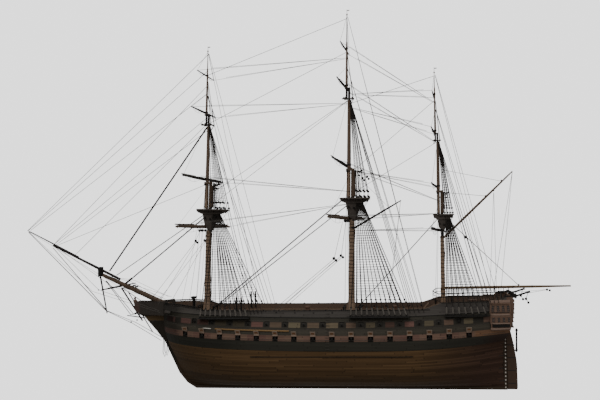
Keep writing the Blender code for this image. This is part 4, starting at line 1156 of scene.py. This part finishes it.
def add_lines():
    """The lines and blocks of the two tables; three of the lines stand for CAD stays."""
    shades = {"dark": DARK_ROPE, "grey": GREY_ROPE}
    stands_for = {"fore_stay_rope": "fore_stay", "main_stay_rope": "main_stay",
                  "mizzen_stay_rope": "mizzen_stay"}
    for name, (radius, shade, runs) in LINES.items():
        for label, side in SIDES:
            middle = all(y == 0 for run in runs for _, y, _ in run)
            if middle and side > 0:
                continue
            obj = ropes(name if middle else f"{name}_{label}", [both_sides(run, side) for run in runs],
                        radius, shades[shade])
            if name in stands_for:
                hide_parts(stands_for[name])
    for group, places in BLOCKS.items():
        for label, side in SIDES:
            bm = bmesh.new()
            for x, y, z, size in places:
                pulley(bm, (x, side * y, z), size)
            piece(f"{group}_blocks_{label}", bm, BLACK_TRIM)


def add_bow_dressing():
    """Rope bindings on the bowsprit, boarding on the head and boomkins."""
    bm = bmesh.new()
    a, b = Vector((-0.8497, 0.0, 0.3660)), Vector((-0.6050, 0.0, 0.2790))
    way = (b - a).normalized()
    spar = node_tree_of("bowsprit")
    for share in [0.30, 0.315, 0.33, 0.345, 0.36] + spread(0.44, 0.92, 9):
        place = a.lerp(b, share)
        low, high = (spar.ray_cast(place - Vector((0, 0, z)), Vector((0, 0, z)))[0] for z in (0.1, -0.1))
        if low is None or high is None:
            continue
        thick = (high - low).length
        turned(bm, facing((low + high) / 2, way), [(-0.0016, thick * 0.49), (0.0, thick * 0.53),
                                                   (0.0016, thick * 0.49)], 12)
    piece("bowsprit_bindings", bm, BINDING)
    tops = [(-0.7430, 0.2880), (-0.7260, 0.2905), (-0.7000, 0.2890), (-0.6700, 0.2890), (-0.6400, 0.2905),
            (-0.6180, 0.2930)]
    feet = [(-0.7440, 0.2600), (-0.7240, 0.2480), (-0.7000, 0.2460), (-0.6700, 0.2460), (-0.6400, 0.2440),
            (-0.6180, 0.2420)]
    for label, side in SIDES:
        def on_head(point, out):
            """A point of the head's side, which spreads from the figurehead to the bow."""
            x, z = point
            return Vector((x, side * (out + 0.235 * (x + 0.7440)), z))

        bm = bmesh.new()
        board(bm, [on_head(point, 0.0070) for point in tops + feet[::-1]], (0.0, side * 0.0026, 0.0))
        for a, b in zip(tops, tops[1:]):
            rod(bm, on_head(a, 0.0090), on_head(b, 0.0090), 0.0016, 6)
        piece("head_boarding_" + label, bm, HEAD_PAINT)
        bm = bmesh.new()
        rod(bm, (-0.7080, side * 0.012, 0.2350), (-0.7600, side * 0.040, 0.2470), 0.0020, 8, 0.8)
        rod(bm, (-0.6440, side * 0.090, 0.2360), (-0.6700, side * 0.058, 0.2230), 0.0016, 6)
        piece("boomkin_" + label, bm, BLACK_SPAR)


def moulding(bm, names, places, direction, z, high, out, material, lift=0.0):
    """A square-edged ledge across a surface at one height."""
    away = -Vector(direction).normalized()
    path = [meet(names, (x, y, z), direction)[0] for x, y in places]
    low, top = lift - high / 2, lift + high / 2
    corners = ((-0.0015, low), (out, low), (out, top), (-0.0015, top))
    sweep(bm, [away * reach + Vector((0, 0, rise)) for reach, rise in corners], path, material)


def window(bm, frame_at, wide, high):
    """A glazed light: pane, frame and glazing bars."""
    bars = [(0.0, 0.0, wide, high, 0.0008, 0)]
    for k in (-1.0, 1.0):
        bars += [(k * wide / 2, 0.0, 0.0012, high + 0.0012, 0.0020, 1),
                 (0.0, k * high / 2, wide + 0.0024, 0.0012, 0.0024, 1),
                 (0.0, k * high / 6, wide, 0.0005, 0.0013, 2)]
    bars.append((0.0, 0.0, 0.0005, high, 0.0013, 2))
    for x, z, size_x, size_z, deep, material in bars:
        box(bm, (size_x, deep, size_z), frame_at @ Matrix.Translation((x, deep / 2 - 0.0003, z)),
            material=material)


# Ledges of the galleries: height, breadth, reach, finish, lift
LEDGES = ((0.2840, 0.0080, 0.0060, 4, 0.0020), (0.2800, 0.0022, 0.0040, 1), (0.2545, 0.0024, 0.0014, 3),
          (0.2485, 0.0040, 0.0030, 4), (0.2228, 0.0030, 0.0034, 4), (0.2160, 0.0096, 0.0012, 3),
          (0.2065, 0.0042, 0.0036, 4))
# Rows of lights: height and their own height
LIGHT_ROWS = ((0.2655, 0.0200), (0.2330, 0.0150))


def add_lights(bm, spot, lights, wide, pillars, pillar):
    """Two rows of lights with pilasters between them; spot gives the frame for a place along and a height."""
    for z, high in LIGHT_ROWS:
        for place in lights:
            window(bm, spot(place, z), wide, high)
        for place in pillars:
            box(bm, (*pillar, high + 0.008), spot(place, z), 0.0004, material=1)


def add_galleries():
    """Windows, ledges and pilasters on the quarter and stern galleries."""
    finishes = [PANE, CARVING, PALE_TRIM, BLACK_TRIM, COURSE]
    for label, side in SIDES:
        names = ("hull", "quarter_gallery_" + label)
        bm = bmesh.new()
        add_lights(bm, lambda x, z: from_side(names, x, z, side), spread(0.4262, 0.4715, 4), 0.0088,
                   spread(0.4187, 0.4790, 5)[:-1] + [0.4782], (0.0022, 0.0026))
        for ledge in LEDGES:
            moulding(bm, names, [(x, side * 0.5) for x in spread(0.4175, 0.4795, 12)], (0, -side, 0), *ledge)
        piece("quarter_gallery_lights_" + label, bm, finishes, smooth=False)
    names = ("hull", "stern_gallery")
    bm = bmesh.new()
    add_lights(bm, lambda y, z: from_astern(names, y, z), spread(-0.0690, 0.0690, 7), 0.0125,
               spread(-0.0805, 0.0805, 8), (0.0026, 0.0030))
    for ledge in LEDGES:
        moulding(bm, names, [(0.9, y) for y in spread(-0.084, 0.084, 17)], (-1, 0, 0), *ledge)
    for y in spread(-0.072, 0.072, 9):
        crest = from_astern(names, y, 0.2918) @ Matrix.Rotation(-math.pi / 2, 4, "X")
        turned(bm, crest, [(-0.0004, 0.0052), (0.0012, 0.0050), (0.0022, 0.0034), (0.0030, 0.0014)], 8, 2)
    piece("stern_gallery_lights", bm, finishes, smooth=False)


def add_stern_details():
    """Draught marks, rudder straps, hanging pendant and quarter pieces."""
    bm = bmesh.new()
    for side in (-1.0, 1.0):
        for z in spread(0.008, 0.158, 14):
            x = 0.4726 - 0.004 * (0.169 - z) / 0.165
            box(bm, (0.0036, 0.0014, 0.0050), from_side(("keel_and_stem", "hull"), x, z, side), 0.0002)
    piece("sternpost_draught_marks", bm, WHITE_MARK)
    aft_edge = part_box("rudder")[1].x - 0.004
    for name, names, body, heights, places, long in (
            ("rudder_straps", ("rudder",), "rudder", (0.020, 0.060, 0.100, 0.140),
             [x for x in (0.480, 0.486, 0.492, 0.498) if x < aft_edge], 0.0068),
            ("rudder_gudgeons", ("hull", "keel_and_stem"), "root", (0.028, 0.068, 0.108, 0.148),
             (0.452, 0.459, 0.466), 0.0076)):
        bm = bmesh.new()
        for z in heights:
            for side in (-1.0, 1.0):
                for x in places:
                    box(bm, (long, 0.0010, 0.0022), from_side(names, x, z, side), 0.0002)
        piece(name, bm, GUN_IRON, body=body)
    bm = bmesh.new()
    rod(bm, (0.5082, 0.0, 0.1880), (0.5062, 0.0, 0.1230), 0.0029, 8)
    rod(bm, (0.5064, 0.0, 0.1215), (0.4930, 0.0, 0.1225), 0.0016, 6)
    for place, way in (((0.5083, 0.0, 0.1890), (0.0, 0.0, 1.0)), ((0.5061, 0.0, 0.1200), (0.0, 0.0, -1.0))):
        turned(bm, facing(place, way), [(-0.0060, 0.0032), (-0.0040, 0.0052), (0.0012, 0.0024),
                                        (0.0034, 0.0006)], 8)
    piece("rudder_pendant", bm, GUN_IRON, body="rudder")
    for label, side in SIDES:
        bm = bmesh.new()
        outline = [(0.4640, 0.2950), (0.4640, 0.3024), (0.4900, 0.3030), (0.4920, 0.3062), (0.5012, 0.3062),
                   (0.5012, 0.2955)]
        board(bm, [(x, side * 0.0850, z) for x, z in outline], (0.0, side * 0.0040, 0.0))
        piece("quarter_piece_" + label, bm, BLACK_TRIM, smooth=False)
        bm = bmesh.new()
        rod(bm, (0.4930, side * 0.055, 0.2953), (0.5435, side * 0.055, 0.3108), 0.0028, 8)
        turned(bm, facing((0.5425, side * 0.055, 0.3105), (0.0515, 0.0, 0.0158)),
               [(0.0, 0.0030), (0.0008, 0.0036), (0.0026, 0.0036), (0.0034, 0.0028)], 8)
        piece("stern_davit_irons_" + label, bm, BLACK_TRIM)
    bm = bmesh.new()
    for y in spread(-0.0765, 0.0765, 10):
        box(bm, (0.0040, 0.0172, 0.0110), (0.4985, y, 0.2985), 0.0006)
    box(bm, (0.0052, 0.1760, 0.0026), (0.4990, 0.0, 0.3040), 0.0006)
    piece("taffrail", bm, BLACK_TRIM, smooth=False)


def add_rails():
    """Open rails and stanchions on the poop and forecastle, timberheads along the waist."""
    for label, side in SIDES:
        def on_rail(x, inboard):
            return Vector((x, side * (half_breadth(x, at(RAIL, x) - 0.003) - inboard), at(RAIL, x)))

        for name, xs, high in (("poop", spread(0.252, 0.456, 15), 0.0280),
                               ("forecastle", spread(-0.622, -0.500, 9), 0.0060)):
            bm = bmesh.new()
            feet = [on_rail(x, 0.0020) for x in xs]
            for foot in feet:
                rod(bm, foot, foot + Vector((0, 0, high)), 0.0008, 6)
            piece(name + "_stanchions_" + label, bm, BLACK_TRIM)
            for k, (rise, radius) in enumerate(((high, 0.0016), (high * 0.62, 0.0010))):
                ropes(f"{name}_rail_{k}_{label}", [[foot + Vector((0, 0, rise)) for foot in feet]], radius,
                      BLACK_TRIM)
        ropes(f"poop_after_rail_{label}", [[(0.452, side * 0.0900, 0.3148), (0.500, side * 0.0865, 0.3142)]],
              0.0018, BLACK_TRIM)
        bm = bmesh.new()
        for x, y in ((0.4540, 0.0898), (0.4680, 0.0888), (0.4830, 0.0877), (0.4985, 0.0866)):
            rod(bm, (x, side * y, 0.2960), (x, side * y, 0.3148), 0.0013, 6)
        piece("poop_after_stanchions_" + label, bm, BLACK_TRIM)
        bm = bmesh.new()
        for x in spread(-0.330, 0.215, 12):
            box(bm, (0.0040, 0.0034, 0.0060), on_rail(x, 0.0022) + Vector((0, 0, 0.001)), 0.0006)
        for x in (-0.3670, -0.3520):
            box(bm, (0.0048, 0.0048, 0.0560), (x, side * (half_breadth(x, 0.262) - 0.0060), 0.2820), 0.0006)
        piece("timberheads_" + label, bm, BLACK_TRIM)


def deck_gun(bm, x, y, side):
    """A small gun on its carriage, muzzle outboard: barrel, cheeks, trucks."""
    z = at(DECK, x)
    breech = facing((x, y - side * 0.016, z + 0.0090), (0, side, 0))
    turned(bm, breech, [(-0.002, 0.0010), (0.0, 0.0030), (0.006, 0.0030), (0.022, 0.0021), (0.024, 0.0026),
                        (0.026, 0.0022), (0.026, 0.0011), (0.022, 0.0010)])
    for shift in (-0.0034, 0.0034):
        box(bm, (0.0016, 0.0190, 0.0052), (x + shift, y - side * 0.010, z + 0.0052), 0.0004, 1)
    for reach in (0.003, 0.017):
        axle_y, axle_z = y - side * reach, z + 0.0022
        rod(bm, (x - 0.0056, axle_y, axle_z), (x + 0.0056, axle_y, axle_z), 0.0022, 10, material=1)


def grating(bm, x, long, wide):
    """A hatch: coaming and crossed bars."""
    z = at(DECK, x)
    pitch = 0.0045
    for side in (1.0, -1.0):
        box(bm, (long + 0.003, 0.0030, 0.0050), (x, side * wide / 2, z + 0.0022), 0.0005)
    for end in (1.0, -1.0):
        box(bm, (0.0060, wide, 0.0050), (x + end * long / 2, 0.0, z + 0.0022), 0.0005)
    for bar in spread(x - long / 2, x + long / 2, int(long / pitch))[1:-1]:
        box(bm, (0.0018, wide, 0.0014), (bar, 0.0, z + 0.0034), material=1)
    for bar in spread(-wide / 2, wide / 2, int(wide / pitch))[1:-1]:
        box(bm, (long, 0.0018, 0.0012), (x, bar, z + 0.0030), material=1)
    box(bm, (long, wide, 0.0012), (x, 0.0, z + 0.0008), material=2)


# Hatches: x, length, width
HATCHES = ((-0.395, 0.034, 0.034), (-0.300, 0.060, 0.046), (-0.205, 0.070, 0.050), (-0.110, 0.050, 0.046),
           (0.070, 0.044, 0.036), (0.190, 0.030, 0.034), (-0.580, 0.024, 0.026), (0.345, 0.026, 0.030))


def add_deck_fittings():
    """Hatches, fife rails round the masts and the belfry."""
    bm = bmesh.new()
    for x, long, wide in HATCHES:
        grating(bm, x, long, wide)
    piece("hatch_gratings", bm, [KEEL_TIMBER, VARNISHED, BLACK_TRIM], smooth=False)
    bm = bmesh.new()
    for mast_x, reach in ((-0.4922, 0.034), (-0.0084, 0.038), (0.2850, 0.028)):
        z = at(DECK, mast_x + 0.026)
        for x in (mast_x - 0.026, mast_x + 0.026):
            for side in (-1.0, 1.0):
                box(bm, (0.0046, 0.0046, 0.0200), (x, side * reach * 0.8, z + 0.0095), 0.0006)
            box(bm, (0.0040, 1.9 * reach, 0.0030), (x, 0.0, z + 0.0150), 0.0006)
            for y in spread(-0.7 * reach, 0.7 * reach, 7):
                rod(bm, (x, y, z + 0.0110), (x, y, z + 0.0195), 0.0007, 6)
    belfry_x = -0.5400
    for size, y, z, soft in (((0.0046, 0.0040, 0.0420), -0.0075, 0.2770, 0.0006),
                             ((0.0046, 0.0040, 0.0420), 0.0075, 0.2770, 0.0006),
                             ((0.0110, 0.0240, 0.0034), 0.0, 0.2985, 0.0008),
                             ((0.0180, 0.0220, 0.0050), 0.0, 0.3020, 0.0018)):
        box(bm, size, (belfry_x, y, z), soft)
    turned(bm, (belfry_x, 0.0, 0.2970), [(-0.0010, 0.0014), (-0.0030, 0.0030), (-0.0080, 0.0036),
                                         (-0.0092, 0.0046)], 12)
    piece("fife_rails_and_belfry", bm, BLACK_TRIM)


def add_capstans_and_wheel():
    """Capstans, the double wheel and the skylights on the poop."""
    bm = bmesh.new()
    for x in (0.128, -0.155):
        z = at(DECK, x)
        turned(bm, (x, 0, z), [(0.0, 0.0100), (0.002, 0.0100), (0.003, 0.0066), (0.012, 0.0052),
                               (0.014, 0.0092), (0.018, 0.0092), (0.0186, 0.0070)], 14)
        for k in range(6):
            turn = Matrix.Translation((x, 0, z + 0.0075)) @ Matrix.Rotation(k * math.pi / 3, 4, "Z")
            box(bm, (0.0016, 0.0030, 0.0100), turn @ Matrix.Translation((0.0, 0.0062, 0.0)), 0.0003)
    for x in (0.2580, 0.2640):
        z = at(DECK, x) + 0.0150
        ways = [Vector((0.0, math.cos(turn), math.sin(turn))) for turn in spread(0.0, math.tau, 11)]
        hub = Vector((x, 0.0, z))
        for a, b in zip(ways, ways[1:]):
            rod(bm, hub + a * 0.010, hub + b * 0.010, 0.0008, 6)
            rod(bm, hub, hub + a * 0.013, 0.0005, 5)
    box(bm, (0.0090, 0.0060, 0.0140), (0.2610, 0.0, at(DECK, 0.261) + 0.0068), 0.0008)
    for x, wide in ((0.3750, 0.024), (0.4150, 0.018)):
        z = at(DECK, x)
        box(bm, (0.0240, wide, 0.0120), (x, 0.0, z + 0.0058), 0.0010)
        box(bm, (0.0270, wide + 0.003, 0.0020), (x, 0.0, z + 0.0128), 0.0006)
    piece("capstans_wheel_and_skylights", bm, CARVING)


def add_deck_guns():
    """Guns along the deck's sides, and the ladders up to the poop."""
    for label, side in SIDES:
        bm = bmesh.new()
        for x in spread(0.020, 0.215, 6) + [-0.600, -0.545, -0.455]:
            deck_gun(bm, x, side * (half_breadth(x, at(RAIL, x) - 0.004) - 0.0120), side)
        piece("deck_guns_" + label, bm, [GUN_IRON, CARVING])
        bm = bmesh.new()
        foot, head = Vector((0.222, side * 0.071, 0.2490)), Vector((0.240, side * 0.071, 0.2680))
        for beside in (Vector((0, -side * 0.011, 0)), Vector((0, side * 0.011, 0))):
            rod(bm, foot + beside, head + beside, 0.0012, 6)
        for share in spread(0.12, 0.92, 5):
            box(bm, (0.0036, 0.0220, 0.0008), foot.lerp(head, share), 0.0002)
        piece("poop_ladder_" + label, bm, PALE_TRIM)


def add_channel_details():
    """The rubbing strake, the lashed side spar, side steps and fenders."""
    spar_level = 0.2040
    for label, side in SIDES:
        def on_level(x):
            return on_side(x, level_height(spar_level, x), side, 0.0040)

        bm = bmesh.new()
        places = [on_side(x, 0.1270, side, 0.0020) for x in spread(-0.319, 0.183, 24)]
        for a, b in zip(places, places[1:]):
            rod(bm, a, b, 0.0013, 6)
        piece("side_rubbing_strake_" + label, bm, BLACK_TRIM)
        ropes("lashed_spar_" + label, [[on_level(x) for x in spread(-0.431, -0.195, 16)]], 0.0025,
              GOLDEN_SPAR)
        ropes("fender_bar_" + label, [[on_level(x) for x in (-0.4700, -0.4570, -0.4440)]], 0.0018, WHITE_MARK)
        bm = bmesh.new()
        for x in spread(-0.425, -0.232, 5):
            hold = side_matrix(x, level_height(spar_level - 0.0006, x), side, 0.0016)
            box(bm, (0.0020, 0.0046, 0.0046), hold, 0.0004)
        for z in spread(0.150, 0.255, 13):
            box(bm, (0.0130, 0.0022, 0.0012), side_matrix(-0.0760, z, side, 0.0006), 0.0003)
        piece("side_steps_and_cleats_" + label, bm, GREY_TRIM)


# Lines to the gaffs and the boom, one on each side: spar, start, end, radius
SIDE_GEAR = {
    "spanker_vang": ("spanker_gaff", (0.450, 0.0985, 0.2925), None, 0.0007),
    "spanker_throat_vang": ("spanker_gaff", (0.440, 0.098, 0.290), (0.453, 0.003, 0.622), 0.0006),
    "spanker_boom_lift": ("spanker_boom", (0.300, 0.012, 0.545), (0.520, 0.003, 0.3260), 0.0009),
    "spanker_boom_sheet": ("spanker_boom", (0.498, 0.050, 0.2990), (0.6060, 0.003, 0.3120), 0.0006),
    "trysail_vang": ("main_trysail_gaff", (0.110, 0.130, 0.268), (0.158, 0.002, 0.603), 0.0006),
}
# The same on the centre plane
CENTRE_GEAR = {
    "spanker_peak_halyard": ("spanker_gaff", None, (0.427, 0.0, 0.612), 0.0008),
    "spanker_peak_span": ("spanker_gaff", (0.296, 0.0, 0.700), (0.480, 0.0, 0.657), 0.0007),
    "spanker_throat_halyard": ("spanker_gaff", (0.292, 0.0, 0.552), (0.316, 0.0, 0.500), 0.0009),
    "trysail_peak_halyard": ("main_trysail_gaff", (0.006, 0.0, 0.705), (0.120, 0.0, 0.584), 0.0006),
}


def add_spanker_gear():
    """Lines from the mizzen mast and the poop rail to the gaff and boom, and blocks that turn with the gaff
    and boom.
    """
    gaff_end = tip("spanker_gaff", (1, 0, 0.8))
    cap = on_mast("crossjack_yard", 0.628)
    lines = []
    for label, side in SIDES:
        for name, (spar, start, end, radius) in SIDE_GEAR.items():
            start, *end = both_sides([start, end] if end else [start], side)
            lines.append((f"{name}_{label}", spar, start, end[0] if end else gaff_end, radius))
    for name, (spar, start, end, radius) in CENTRE_GEAR.items():
        lines.append((name, spar, Vector(start) if start else cap, Vector(end), radius))
    for name, spar, start, end, radius in lines:
        soft_ropes(name, [along(start, end)], radius, GREY_ROPE)
    bm = bmesh.new()
    for x, z, size in ((0.6058, 0.3118, 0.0036), (0.6139, 0.3093, 0.0034), (0.520, 0.3285, 0.0026)):
        pulley(bm, (x, 0.0, z), size)
    for x in spread(0.330, 0.560, 5):
        thick = 0.0050 - 0.0042 * abs(x - 0.45)
        turned(bm, facing((x, 0.0, 0.3217 + 0.002 * (x - 0.33)), (1, 0, 0.003)),
               [(-0.0010, thick), (0.0010, thick)], 12)
    piece("spanker_boom_fittings", bm, BLACK_TRIM, body="spanker_boom")
    bm = bmesh.new()
    for x, z, size in ((0.427, 0.612, 0.0030), (0.478, 0.660, 0.0024), (0.453, 0.628, 0.0024)):
        pulley(bm, (x, 0.0, z), size)
    piece("spanker_gaff_fittings", bm, BLACK_TRIM, body="spanker_gaff")


def add_studding_booms(mast):
    """Brown booms on their irons above the lower and topsail yards."""
    for yard, big in zip(YARDS[mast], (1.0, 0.8)):
        lift = Vector((-0.0060, 0.0, 0.0070)) * big
        bm = bmesh.new()
        for side in (-1.0, 1.0):
            rod(bm, arm(yard, side * 0.36) + lift, arm(yard, side * 0.97) + lift, 0.0023 * big, 8, 0.75)
        piece(yard + "_studding_booms", bm, BROWN_SPAR, body=yard)
        bm = bmesh.new()
        for share in (-0.44, -0.70, -0.93, 0.44, 0.70, 0.93):
            hold = arm(yard, share)
            rod(bm, hold, hold + lift * 1.25, 0.0012 * big, 6)
        piece(yard + "_boom_irons", bm, GUN_IRON, body=yard)


def add_camera():
    """The camera that the photograph was taken from."""
    data = bpy.data.cameras.new("camera")
    data.lens = FOCAL_PX / FRAME_PX * data.sensor_width
    camera = bpy.data.objects.new("camera", data)
    bpy.context.scene.collection.objects.link(camera)
    back = -CAMERA_AHEAD.normalized()
    right = (CAMERA_RIGHT - CAMERA_RIGHT.dot(back) * back).normalized()
    camera.matrix_world = axes(CAMERA_PLACE, right, back.cross(right), back)
    bpy.context.scene.camera = camera


def pale_surface(name):
    """Even pale white that the camera sees and the ship doesn't."""
    paint = Finish(name, 1.0, 0.0)
    for key, value in (("Base Color", (0.0, 0.0, 0.0, 1.0)), ("Emission Color", (1.0, 1.0, 1.0, 1.0)),
                       ("Emission Strength", 2.0)):
        paint.shader.inputs[key].default_value = value
    return paint.material


def add_studio():
    """Pale floor and backdrop, and soft lights from above."""
    bm = bmesh.new()
    bmesh.ops.create_circle(bm, cap_ends=True, radius=30.0, segments=64)
    floor = piece("floor", bm, pale_surface("pale_floor"), body=None, smooth=False)
    bm = bmesh.new()
    bmesh.ops.create_icosphere(bm, subdivisions=4, radius=31.0)
    backdrop = piece("backdrop", bm, pale_surface("pale_backdrop"), body=None)
    for obj in (floor, backdrop):
        obj.visible_diffuse = False
        obj.visible_glossy = False
        obj.visible_shadow = False
    world = bpy.data.worlds.new("studio")
    bpy.context.scene.world = world
    world.use_nodes = True
    sky = world.node_tree.nodes["Background"].inputs
    sky["Color"].default_value = (1.0, 0.99, 0.97, 1.0)
    sky["Strength"].default_value = 0.20
    middle = Vector((0.0, 0.0, 0.35))
    for name, place, size, power in (("key_light", (-0.9, -2.6, 2.6), 2.4, 26.0),
                                     ("top_light", (0.3, 0.4, 3.2), 3.0, 22.0),
                                     ("fill_light", (2.4, -1.6, 1.2), 2.0, 7.0)):
        data = bpy.data.lights.new(name, "AREA")
        data.shape = "DISK"
        data.size = size
        data.energy = power
        lamp = bpy.data.objects.new(name, data)
        lamp.location = place
        lamp.rotation_euler = (middle - Vector(place)).to_track_quat("-Z", "Y").to_euler()
        lamp.visible_camera = False
        bpy.context.scene.collection.objects.link(lamp)


add_camera()
dress_nodes()
add_side_mouldings()
add_ports()
for mast in MAST_TOPS:
    add_lower_shrouds(mast)
    add_top_dressing(mast)
    add_backstays(mast)
    add_yard_gear(mast)
    add_mast_woldings(mast)
    add_masthead(mast)
    add_top_tackle(mast)
    if mast != "mizzen":
        add_studding_booms(mast)
add_stays()
add_lines()
add_bow_dressing()
add_galleries()
add_stern_details()
add_rails()
add_deck_fittings()
add_capstans_and_wheel()
add_deck_guns()
add_channel_details()
add_spanker_gear()
add_studio()
